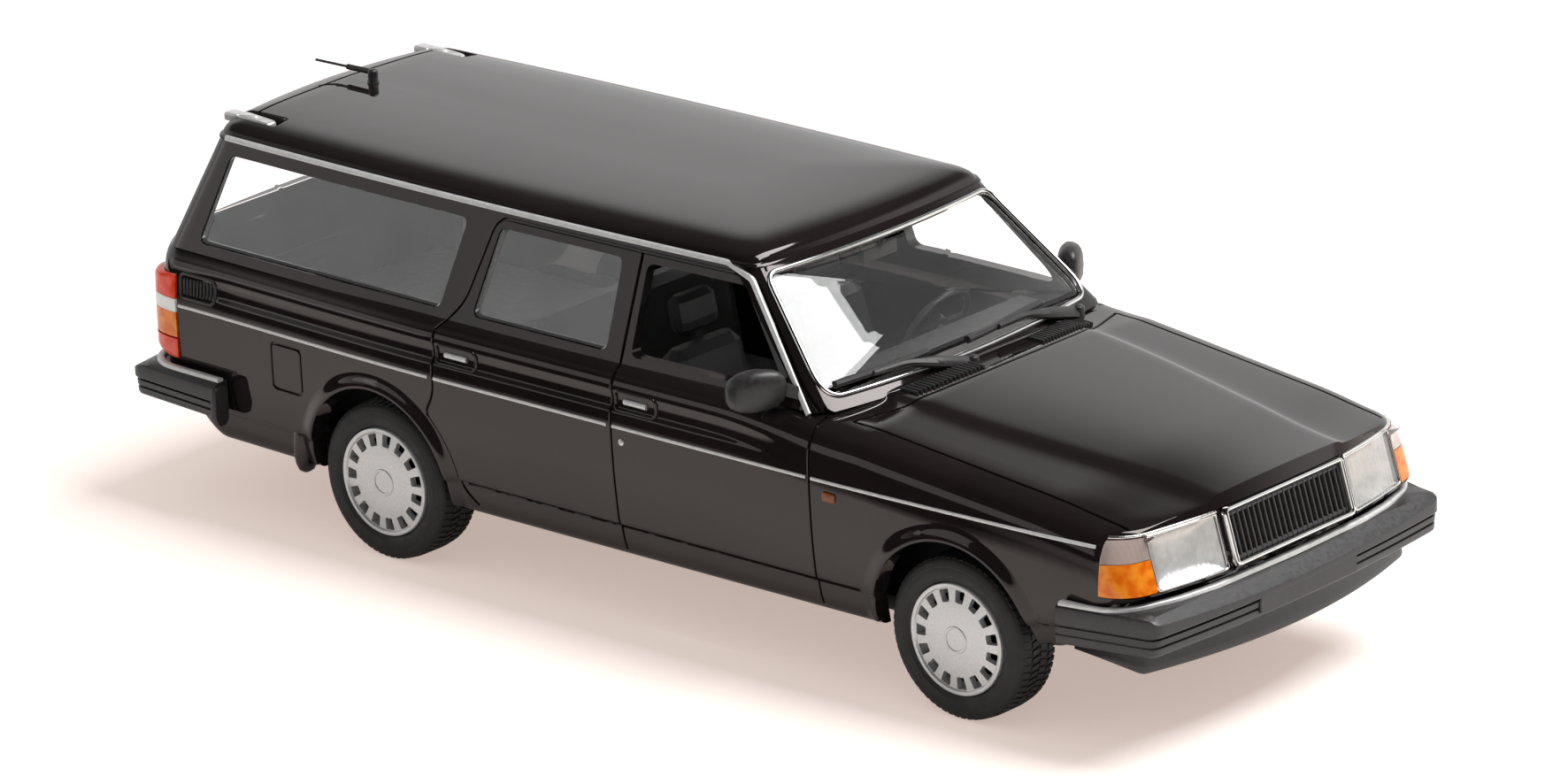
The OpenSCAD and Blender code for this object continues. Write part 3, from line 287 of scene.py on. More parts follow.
def cabin_rings(inset=0.0, foot=BELT - 1, fine=True):
    levels = [(z, inset, inset, 0.0) for z in np.linspace(foot, GUTTER - 0.3 - inset, 16 if fine else 4)]
    if inset == 0:
        lips = ((-0.24, 0, 0.2), (-0.2, 0, 0.28), (-0.12, 0, 0.3), (-0.02, 0, 0.3), (0.04, 0, 0.26), (0.07, 0, 0.14),
                (0.08, 0.03, 0))
        levels += [(GUTTER + z, draw, draw, lip) for z, draw, lip in lips]
    draw = (0.12, 0.3, 0.5, 0.75, 1, 1.3, 1.7, 2.2, 2.9, 3.7, 4.6, 5.6, 6.6, 7.7, 8.8, 10, 11.5) if fine \
        else (0.3, 1, 2.9, 6.5, 11.5)
    levels += [(GUTTER + 0.09 + (ROOF - GUTTER - 0.09) * float(crown_share(np.array(d))) - inset, inset + d,
                inset + max(REAR_CROWN * d, 0.04), 0.0) for d in draw]
    return np.array([cabin_ring(z, i, tail, lip, fine) for z, i, tail, lip in levels])


# Mesh making

def outward(verts, faces):
    """Turns a closed mesh's faces to look outward."""
    v = np.asarray(verts, float)
    volume = 0.0
    for f in faces:
        for k in range(1, len(f) - 1):
            volume += float(np.dot(v[f[0]], np.cross(v[f[k]], v[f[k + 1]])))
    return v, (faces if volume > 0 else [tuple(f[::-1]) for f in faces])


def loft(rings):
    """Skin over equal rings, with a fan over each end."""
    rings = np.asarray(rings, float)
    rows, n = rings.shape[:2]
    verts = rings.reshape(-1, 3)
    faces = []
    for r in range(rows - 1):
        for p in range(n):
            q = (p + 1) % n
            faces.append((r * n + p, r * n + q, (r + 1) * n + q, (r + 1) * n + p))
    verts = np.concatenate([verts, rings[:1].mean(1), rings[-1:].mean(1)])
    a, b, o = rows * n, rows * n + 1, (rows - 1) * n
    for p in range(n):
        q = (p + 1) % n
        faces += [(q, p, a), (o + p, o + q, b)]
    return outward(verts, faces)


def sweep(path, normals, profile, closed=False):
    """Carries a closed profile (across, out) along a path whose points have outward normals."""
    path, normals, profile = (np.asarray(a, float) for a in (path, normals, profile))
    n, k = len(path), len(profile)
    tangent = np.roll(path, -1, 0) - np.roll(path, 1, 0) if closed else np.gradient(path, axis=0)
    tangent /= np.linalg.norm(tangent, axis=1, keepdims=True)
    out = normals - (normals * tangent).sum(1, keepdims=True) * tangent
    out /= np.linalg.norm(out, axis=1, keepdims=True)
    across = np.cross(out, tangent)
    rings = path[:, None] + across[:, None] * profile[None, :, :1] + out[:, None] * profile[None, :, 1:]
    if not closed:
        return loft(rings)
    verts, faces = rings.reshape(-1, 3), []
    for r in range(n):
        s = (r + 1) % n
        for p in range(k):
            q = (p + 1) % k
            faces.append((r * k + p, r * k + q, s * k + q, s * k + p))
    return outward(verts, faces)


def slab(outer, inner):
    """A closed sheet between two equal grids of points."""
    rows, cols = outer.shape[:2]
    n = rows * cols
    verts = np.concatenate([outer.reshape(-1, 3), inner.reshape(-1, 3)])
    faces = []
    for r in range(rows - 1):
        for c in range(cols - 1):
            a, b = r * cols + c, (r + 1) * cols + c
            faces += [(a, a + 1, b + 1, b), (n + b, n + b + 1, n + a + 1, n + a)]
    edge = ([c for c in range(cols)] + [r * cols + cols - 1 for r in range(1, rows)]
            + [(rows - 1) * cols + c for c in range(cols - 2, -1, -1)] + [r * cols for r in range(rows - 2, 0, -1)])
    for i, a in enumerate(edge):
        b = edge[(i + 1) % len(edge)]
        faces.append((b, a, n + a, n + b))
    return outward(verts, faces)


def prism(outline, axis, low, high):
    """An outline pushed along one axis: seen from the side along y, from the front along x, from above along z."""
    p = np.asarray(outline, float)
    lay = {"y": lambda d: np.stack([p[:, 0], np.full(len(p), d), p[:, 1]], 1),
           "x": lambda d: np.stack([np.full(len(p), d), p[:, 0], p[:, 1]], 1),
           "z": lambda d: np.stack([p[:, 0], p[:, 1], np.full(len(p), d)], 1)}[axis]
    n = len(p)
    verts = np.concatenate([lay(low), lay(high)])
    faces = [tuple(range(n)), tuple(range(2 * n - 1, n - 1, -1))]
    faces += [((i + 1) % n, i, n + i, n + (i + 1) % n) for i in range(n)]
    return outward(verts, faces)


def rounded(corners, radius, steps=8):
    """A polygon with rounded corners."""
    c = np.asarray(corners, float)
    out = []
    for i, p in enumerate(c):
        a, b = c[i - 1] - p, c[(i + 1) % len(c)] - p
        la, lb = np.linalg.norm(a), np.linalg.norm(b)
        a, b = a / la, b / lb
        reach = min(radius / math.tan(math.acos(float(np.clip(a @ b, -1, 1))) / 2), la * 0.45, lb * 0.45)
        out += [bend(p + a * reach, p, p + b * reach, k / steps) for k in range(steps + 1)]
    return np.array(out)


def grown(outline, by):
    """An outline drawn outward by a distance."""
    p = np.asarray(outline, float)
    edge = np.roll(p, -1, 0) - np.roll(p, 1, 0)
    side = np.stack([edge[:, 1], -edge[:, 0]], 1)
    side /= np.linalg.norm(side, axis=1, keepdims=True)
    area = 0.5 * np.sum(p[:, 0] * np.roll(p[:, 1], -1) - np.roll(p[:, 0], -1) * p[:, 1])
    return p + side * by * np.sign(area)


def corners_of(x0, z0, x1, z1):
    return [(x0, z0), (x0, z1), (x1, z1), (x1, z0)]


def resampled(line, count):
    """A polyline with a count of points at even distances."""
    far = np.concatenate([[0], np.cumsum(np.linalg.norm(np.diff(line, axis=0), axis=1))])
    at = np.linspace(0, far[-1], count)
    return np.stack([np.interp(at, far, line[:, k]) for k in range(line.shape[1])], 1)


def smooth_path(points, radius, step=0.4, closed=False):
    """A polyline with its corners rounded, resampled at an even step."""
    p = np.asarray(points, float)
    if closed:
        fine = rounded(p, radius) if p.shape[1] == 2 else p
        fine = np.concatenate([fine, fine[:1]])
    else:
        fine = [p[0]]
        for i in range(1, len(p) - 1):
            a, b = p[i - 1] - p[i], p[i + 1] - p[i]
            la, lb = np.linalg.norm(a), np.linalg.norm(b)
            reach = min(radius, la * 0.45, lb * 0.45)
            fine += [bend(p[i] + a / la * reach, p[i], p[i] + b / lb * reach, k / 6) for k in range(7)]
        fine = np.array(fine + [p[-1]])
    length = np.cumsum(np.linalg.norm(np.diff(fine, axis=0), axis=1))[-1]
    even = resampled(fine, max(3, int(round(length / step)) + 1))
    return even[:-1] if closed else even


def lozenge(wide, tall, foot=-0.06, steps=10):
    """Half-round trim profile that stands proud by tall and is let into the surface at its foot."""
    a = np.linspace(0, math.pi, steps)
    top = np.stack([wide / 2 * np.cos(a), tall * np.sin(a)], 1)
    return np.concatenate([top, [(-wide / 2, foot), (wide / 2, foot)]])


def tube_profile(wide, steps=12):
    a = np.linspace(0, 2 * math.pi, steps, endpoint=False)
    return np.stack([wide / 2 * np.cos(a), wide / 2 * np.sin(a)], 1)


def lathe(profile, segments, centre, side):
    """Turns a closed profile (radius, out) about an axle; out points away from the car on that side."""
    p = np.asarray(profile, float)
    a = np.linspace(0, 2 * math.pi, segments, endpoint=False)
    n = len(p)
    rings = np.stack([centre[0] + p[None, :, 0] * np.cos(a)[:, None],
                      centre[1] + side * np.broadcast_to(p[None, :, 1], (segments, n)),
                      centre[2] + p[None, :, 0] * np.sin(a)[:, None]], 2)
    verts, faces = rings.reshape(-1, 3), []
    for s in range(segments):
        t = (s + 1) % segments
        faces += [(s * n + i, s * n + (i + 1) % n, t * n + (i + 1) % n, t * n + i) for i in range(n)]
    return outward(verts, faces)


def upright(profile, segments, place):
    """Turns a closed profile (radius, up) about an upright axis."""
    v, faces = lathe(profile, segments, (0, 0, 0), 1)
    return np.stack([v[:, 0], v[:, 2], v[:, 1]], 1) * (1, -1, 1) + place, faces


def joined(parts):
    """Several meshes as one."""
    verts, faces, base = [], [], 0
    for v, f in parts:
        verts.append(np.asarray(v, float))
        faces += [tuple(i + base for i in face) for face in f]
        base += len(v)
    return np.concatenate(verts), faces


def flipped(part):
    """The same mesh on the other side of the car."""
    v, f = part
    return np.asarray(v, float) * (1, -1, 1), [tuple(face[::-1]) for face in f]


def both_sides(part):
    return joined([part, flipped(part)])


def raw_object(name, part):
    mesh = bpy.data.meshes.new(name)
    mesh.from_pydata((np.asarray(part[0]) * MM).tolist(), [], part[1])
    mesh.update()
    obj = bpy.data.objects.new(name, mesh)
    bpy.context.scene.collection.objects.link(obj)
    return obj


def finished(obj, finish, body="chassis", stands_for=(), sharp=35.0):
    """Gives a mesh object its finish, smooth shading with sharp edges kept, and its place on a body."""
    obj.data.materials.clear()
    obj.data.materials.append(finish)
    obj.data.shade_smooth()
    obj.data.set_sharp_from_angle(angle=math.radians(sharp))
    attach(obj, body)
    if stands_for:
        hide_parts(*stands_for)
    return obj


def add_piece(name, part, finish, body="chassis", stands_for=(), sharp=35.0):
    return finished(raw_object(name, part), finish, body, stands_for, sharp)


def carve(obj, part, operation="DIFFERENCE"):
    """Joins a closed mesh to an object or cuts it away."""
    cutter = raw_object("cutter", part)
    cut = obj.modifiers.new("cut", "BOOLEAN")
    cut.operation, cut.solver, cut.object = operation, "MANIFOLD", cutter
    result = bpy.data.meshes.new_from_object(obj.evaluated_get(bpy.context.evaluated_depsgraph_get()))
    obj.modifiers.clear()
    if len(result.polygons) < 4:
        raise RuntimeError(f"a cut left nothing of {obj.name}")
    old, tool = obj.data, cutter.data
    obj.data = result
    bpy.data.objects.remove(cutter)
    bpy.data.meshes.remove(old)
    bpy.data.meshes.remove(tool)


# The uncut skin, which trim and gaps are laid on
SKIN = {}


def make_skin():
    skin = raw_object("uncut_skin", loft(lower_rings()))
    carve(skin, loft(cabin_rings()), "UNION")
    mesh = skin.data
    mesh.shade_smooth()
    mesh.set_sharp_from_angle(angle=math.radians(32))
    SKIN["tree"] = BVHTree.FromPolygons([v.co.copy() for v in mesh.vertices],
                                        [tuple(p.vertices) for p in mesh.polygons])
    normals = np.zeros(len(mesh.loops) * 3, np.float32)
    mesh.corner_normals.foreach_get("vector", normals)
    SKIN["normals"] = normals.reshape(-1, 3)
    SKIN["loops"] = [list(p.loop_indices) for p in mesh.polygons]
    SKIN["corners"] = [[mesh.vertices[v].co.copy() for v in p.vertices] for p in mesh.polygons]
    return skin


def smooth_normal(face, point):
    """The skin's own shading normal at a point of one of its faces."""
    loops, corners = SKIN["loops"][face], SKIN["corners"][face]
    weight = np.array([1.0 / ((c - point).length + 1e-7) for c in corners])
    weight = weight ** 2
    n = (SKIN["normals"][loops] * weight[:, None]).sum(0)
    return n / np.linalg.norm(n)


def on_skin(points, towards):
    """Points dropped onto the uncut skin along a direction, with the skin's normals there."""
    where, facing = [], []
    aim = Vector(towards)
    for p in points:
        hit, normal, face, _ = SKIN["tree"].ray_cast(Vector(p) * MM - aim * 0.2, aim)
        if hit is None:
            raise RuntimeError(f"nothing of the body lies at {tuple(p)}")
        where.append(np.array(hit) / MM)
        facing.append(smooth_normal(face, hit))
    facing = np.array(facing)
    if len(facing) > 6:
        kernel = np.ones(5) / 5
        facing = np.stack([np.convolve(np.pad(facing[:, k], 2, "edge"), kernel, "valid") for k in range(3)], 1)
    return np.array(where), facing


def on_flank(points, side=1):
    """Side-view points (x, z) laid on the flank."""
    p = np.asarray(points, float)
    return on_skin(np.stack([p[:, 0], np.zeros(len(p)), p[:, 1]], 1), (0, -side, 0))


def on_top(points):
    """Plan points (x, y) laid on the top."""
    p = np.asarray(points, float)
    return on_skin(np.stack([p[:, 0], p[:, 1], np.zeros(len(p))], 1), (0, 0, -1))


def on_tail(points):
    """Rear-view points (y, z) laid on the tail."""
    p = np.asarray(points, float)
    return on_skin(np.stack([np.zeros(len(p)), p[:, 0], p[:, 1]], 1), (1, 0, 0))


def keep_skin_shading(obj):
    """Takes the shading normals of every face that lies on the uncut skin from that skin, so cuts leave no ripples."""
    mesh = obj.data
    co = np.zeros(len(mesh.vertices) * 3, np.float32)
    mesh.vertices.foreach_get("co", co)
    co = co.reshape(-1, 3).astype(float)
    custom = np.zeros((len(mesh.loops), 3), np.float32)
    for poly in mesh.polygons:
        centre, facing = np.array(poly.center), np.array(poly.normal)
        for loop, vertex in zip(poly.loop_indices, poly.vertices):
            point = Vector(mix(co[vertex], centre, 0.05))
            hit, _, face, far = SKIN["tree"].find_nearest(point, 0.00002)
            if hit is None or far > 0.000006:
                continue
            n = smooth_normal(face, hit)
            if n @ facing > 0.8:
                custom[loop] = n
    mesh.normals_split_custom_set(custom.tolist())


# Finishes

def linear(colour):
    """A colour written as sRGB hex, or kept by a property, as linear values."""
    if not isinstance(colour, str):
        return (*colour, 1.0)
    parts = [int(colour[i:i + 2], 16) / 255 for i in (1, 3, 5)]
    return tuple(c / 12.92 if c <= 0.04045 else ((c + 0.055) / 1.055) ** 2.4 for c in parts) + (1.0,)


def node(tree, kind, settings=None, links=None):
    """Adds one node, sets its values and links its inputs."""
    made = tree.nodes.new(kind)
    for key, value in (settings or {}).items():
        if isinstance(key, int) or key in made.inputs:
            made.inputs[key].default_value = value
        else:
            setattr(made, key, value)
    for key, source in (links or {}).items():
        tree.links.new(source, made.inputs[key])
    return made


def new_finish(name):
    finish = bpy.data.materials.new(name)
    finish.use_nodes = True
    finish.node_tree.nodes.clear()
    return finish, finish.node_tree


# The middle of a noise, where nearly all of its values lie
NOISE_LOW, NOISE_HIGH = 0.35, 0.65


def grain(tree, size_mm, dark, light, detail=2.0):
    """A noise with patches about size_mm across, in the object's own millimetres, and a colour that follows it."""
    place = node(tree, "ShaderNodeTexCoord")
    noise = node(tree, "ShaderNodeTexNoise", {"Scale": 1000.0 / size_mm / 2, "Detail": detail},
                 {"Vector": place.outputs["Object"]})
    tint = node(tree, "ShaderNodeValToRGB", None, {"Fac": noise.outputs["Fac"]})
    low, high = tint.color_ramp.elements
    low.position, high.position = NOISE_LOW, NOISE_HIGH
    low.color, high.color = linear(dark), linear(light)
    return noise.outputs["Fac"], tint.outputs["Color"]


def plain_finish(name, dark, light, rough, grain_mm, bump, settings):
    """An opaque finish with a fine grain in its colour, roughness and relief."""
    finish, tree = new_finish(name)
    noise, tint = grain(tree, grain_mm, dark, light)
    spread = node(tree, "ShaderNodeMapRange", {"From Min": NOISE_LOW, "From Max": NOISE_HIGH, "To Min": rough * 0.85,
                                               "To Max": rough * 1.15}, {"Value": noise})
    relief = node(tree, "ShaderNodeBump", {"Strength": bump, "Distance": grain_mm * 0.3 * MM}, {"Height": noise})
    shader = node(tree, "ShaderNodeBsdfPrincipled", settings, {
        "Base Color": tint, "Roughness": spread.outputs["Result"], "Normal": relief.outputs["Normal"]})
    node(tree, "ShaderNodeOutputMaterial", None, {"Surface": shader.outputs[0]})
    return finish


def clear_finish(name, dark, light, rough, through, flute_mm, patch_mm):
    """A clear or lightly filled plastic, with flutes across it or else a faint ripple."""
    finish, tree = new_finish(name)
    height, tint = grain(tree, patch_mm, dark, light, 1.0)
    strength, deep_mm = 0.02, 0.05
    if flute_mm:
        place = node(tree, "ShaderNodeTexCoord")
        wave = node(tree, "ShaderNodeTexWave", {"Scale": 2 * math.pi / 20 / (flute_mm * MM), "wave_profile": "SIN",
                                                "bands_direction": "Y"}, {"Vector": place.outputs["Object"]})
        height, strength, deep_mm = wave.outputs["Fac"], 0.2, 0.04
    relief = node(tree, "ShaderNodeBump", {"Strength": strength, "Distance": deep_mm * MM}, {"Height": height})
    shader = node(tree, "ShaderNodeBsdfPrincipled", {"IOR": 1.49, "Roughness": rough, "Transmission Weight": through}, {
        "Base Color": tint, "Normal": relief.outputs["Normal"]})
    node(tree, "ShaderNodeOutputMaterial", None, {"Surface": shader.outputs[0]})
    return finish


FINISHES = {}


def make_finishes(look):
    # Acrylic lacquer sprayed on a zinc casting: deep black with a mirror gloss and a faint orange peel
    finish, tree = new_finish("acrylic_lacquer_black")
    mottle, tint = grain(tree, 9.0, "#171312", look.paint)
    place = node(tree, "ShaderNodeTexCoord")
    peel = node(tree, "ShaderNodeTexNoise", {"Scale": 1000.0 / 0.9 / 2, "Detail": 1.0},
                {"Vector": place.outputs["Object"]})
    spread = node(tree, "ShaderNodeMapRange", {"From Min": NOISE_LOW, "From Max": NOISE_HIGH, "To Min": 0.025,
                                               "To Max": 0.045}, {"Value": mottle})
    relief = node(tree, "ShaderNodeBump", {"Strength": 0.03, "Distance": 0.02 * MM}, {"Height": peel.outputs["Fac"]})
    shader = node(tree, "ShaderNodeBsdfPrincipled", {"IOR": 1.5, "Specular Tint": linear("#fff5f3")}, {
        "Base Color": tint, "Roughness": spread.outputs["Result"], "Normal": relief.outputs["Normal"]})
    node(tree, "ShaderNodeOutputMaterial", None, {"Surface": shader.outputs[0]})
    FINISHES["paint"] = finish

    # Key, material, dark and light colour, roughness, grain in millimetres, relief and shader settings
    for key, *values in (
            # Moulded ABS left unpainted: satin black with a fine spark-eroded grain
            ("satin", "moulded_abs_black", "#2a2828", look.plastic, 0.38, 0.18, 0.12, {"IOR": 1.5}),
            # Moulded polystyrene of the cabin: matt dark grey, nearly black
            ("cabin", "moulded_polystyrene_cabin", "#242323", "#302f2f", 0.5, 0.3, 0.1, {"IOR": 1.55}),
            # The same plastic for the dash, a shade darker
            ("dash", "moulded_polystyrene_dash", "#1e1d1d", "#292827", 0.55, 0.25, 0.12, {"IOR": 1.55}),
            # Injected base: a matt black with slight flow marks
            ("base", "moulded_abs_base", "#121212", "#1d1c1c", 0.55, 0.6, 0.1, {"IOR": 1.5}),
            # Vacuum-metallised plastic: bright with the faint waviness of thin trim
            ("bright", "metallised_trim", "#dddcda", look.bright, 0.1, 0.5, 0.01, {"Metallic": 1.0}),
            # Tampo-printed silver ink: bright, flatter and more diffuse than plated trim
            ("ink", "silver_ink", "#d0cfcd", "#dcdbd9", 0.42, 0.25, 0.01, {"Metallic": 0.4, "IOR": 1.5}),
            # Silver lacquer on the moulded covers: pale satin metal flake
            ("cover", "silver_lacquer_cover", "#d2d1d0", look.cover, 0.34, 0.1, 0.015, {"Metallic": 0.55, "IOR": 1.5}),
            # Turned steel pin
            ("pin", "turned_steel", "#9c9b99", "#b8b7b4", 0.25, 0.2, 0.05, {"Metallic": 1.0}),
            # Soft vinyl tyre: matt charcoal with a dusty bloom
            ("tyre", "soft_vinyl_tyre", "#1d1c1b", look.tyre, 0.62, 0.35, 0.2, {"IOR": 1.5}),
            # Silvered lamp bowl: pale and hazy behind its lens
            ("bowl", "silvered_bowl", "#bdbcbd", "#d0cfcf", 0.36, 0.4, 0.01, {"Metallic": 1.0}),
            # Deep black inside the wheel covers
            ("slot", "shadow_black", "#070707", "#0c0c0c", 0.7, 0.3, 0.1, {"IOR": 1.5})):
        FINISHES[key] = plain_finish(*values)

    # Key, material, dark and light colour, roughness, share let through, flute pitch and patch size in millimetres
    for key, *values in (
            # Clear polystyrene panes: colourless, with a faint flow ripple
            ("pane", "clear_polystyrene_pane", "#f4f5f4", "#ffffff", 0.0, 1.0, None, 3.0),
            # Clear lens over a silvered bowl, fluted inside
            ("lens", "clear_polystyrene_lens", "#f2f2ee", "#ffffff", 0.03, 1.0, 0.5, 3.0),
            # Tinted lenses: strong colour with light and dark flecks painted in, standing in for the glints and shade
            # of the flutes behind
            ("amber", "amber_polystyrene_lens", "#ea6c0c", look.amber, 0.08, 0.15, 0.4, 0.4),
            ("marker", "amber_polystyrene_marker", "#7d3c10", "#a95a1e", 0.1, 0.2, None, 3.0),
            ("rose", "clear_polystyrene_corner", "#dccac2", "#eee2dc", 0.1, 0.6, 0.4, 3.0),
            # Painted glints: the red lens carries the same fine light and dark flecks
            ("red", "red_polystyrene_lens", "#e63a1e", look.red, 0.08, 0.12, 0.4, 0.4),
            ("white_lens", "white_polystyrene_lens", "#efecea", "#fdfbf9", 0.15, 0.1, 0.4, 3.0)):
        FINISHES[key] = clear_finish(*values)


# Properties

def length_prop(label, text, default_mm):
    return FloatProperty(name=label, description=text, default=default_mm * MM, min=0.0, unit="LENGTH", precision=5)


def colour_prop(label, text, colour):
    return FloatVectorProperty(name=label, description=text, default=linear(colour)[:3], subtype="COLOR",
                               min=0.0, max=1.0, size=3)


class WagonSizes(bpy.types.PropertyGroup):
    panel_gap: length_prop("Panel gap", "Width of the gaps round the doors and the bonnet", 0.2)
    panel_depth: length_prop("Gap depth", "Depth of the gaps round the doors and the bonnet", 0.26)
    strip_width: length_prop("Side strip", "Height of the bright strip along the flanks", 0.3)
    gutter_width: length_prop("Gutter strip", "Height of the bright strip along the rain gutters", 0.48)
    surround_width: length_prop("Screen surround", "Width of the bright frame round the windscreen", 0.44)
    lip_width: length_prop("Arch lip", "Width of the flared lips round the wheel openings", 1.5)
    tread_depth: length_prop("Tread depth", "Height of the tread blocks", 0.14)
    tread_blocks: IntProperty(name="Tread blocks", description="Blocks in each row round a tyre", default=64, min=12,
                              max=90)
    cover_slots: IntProperty(name="Cover openings", description="Openings round each wheel cover", default=15, min=6,
                             max=24)
    slats: IntProperty(name="Grille slats", description="Upright slats of the grille", default=22, min=8, max=40)


class WagonColours(bpy.types.PropertyGroup):
    paint: colour_prop("Paint", "Lacquer of the casting", "#1e1918")
    plastic: colour_prop("Plastic", "Bumpers, mirrors and wipers", "#333131")
    bright: colour_prop("Bright trim", "Plated strips and frames", "#e6e5e3")
    cover: colour_prop("Wheel covers", "Silver of the wheel covers", "#dddcdb")
    tyre: colour_prop("Tyres", "Vinyl of the tyres", "#272524")
    amber: colour_prop("Amber lamps", "Turn signals", "#fc9626")
    red: colour_prop("Red lamps", "Tail lamps", "#f6573a")


# Pieces

def gap_cutter(path, normals, wide, deep, closed=False):
    """Groove with slightly eased edges, as the lacquer leaves them."""
    w = wide / 2
    profile = [(-w - 0.31, 0.3), (-w, -0.07), (-w, -deep), (w, -deep), (w, -0.07), (w + 0.31, 0.3)]
    return sweep(path, normals, profile, closed)


def flank_gap_paths():
    head = WINDOW_HEAD + 0.6
    arch = ARCH_RADIUS + 1.5
    door = [(REAR_AXLE_X + arch * math.cos(a), ARCH_Z + arch * math.sin(a)) for a in np.radians((50, 40, 30, 20, 8))]
    return [
        [(FRONT_GAP, SILL + 0.7), (FRONT_GAP - 0.3, BELT - 1.3)],
        [(MIDDLE_GAP + 0.3, SILL + 0.7), (MIDDLE_GAP, STRIP - 0.6), (MIDDLE_GAP, BELT - 1.3)],
        [(REAR_GAP, SHOULDER - 0.9), (REAR_GAP, STRIP - 1.5)] + door + [(REAR_AXLE_X + arch + 1.4, SILL + 1.0)],
        [(REAR_AXLE_X + arch + 0.7, DOOR_FOOT), (FRONT_AXLE_X - arch, DOOR_FOOT)],
    ], [
        [(FRONT_GAP - 0.3, BELT - 1.2), (SCREEN_FOOT - 1.3, BELT + 0.5), (SCREEN_HEAD + 0.3, head),
         (REAR_GAP + 4, head), (REAR_GAP + 2.2, BELT + 0.8), (REAR_GAP, SHOULDER - 0.8)],
        [(MIDDLE_GAP, BELT - 1.2), (MIDDLE_GAP, head)],
    ]


def arch_outline(axle_x):
    r = ARCH_RADIUS
    a = np.linspace(0, math.pi, 49)
    top = np.stack([axle_x + r * np.cos(a), ARCH_Z + r * np.sin(a)], 1)
    legs = [(axle_x - r, ARCH_Z - 2), (axle_x - r - 0.5, SILL - 3), (axle_x + r + 0.5, SILL - 3),
            (axle_x + r, ARCH_Z - 2)]
    return np.concatenate([top, legs])


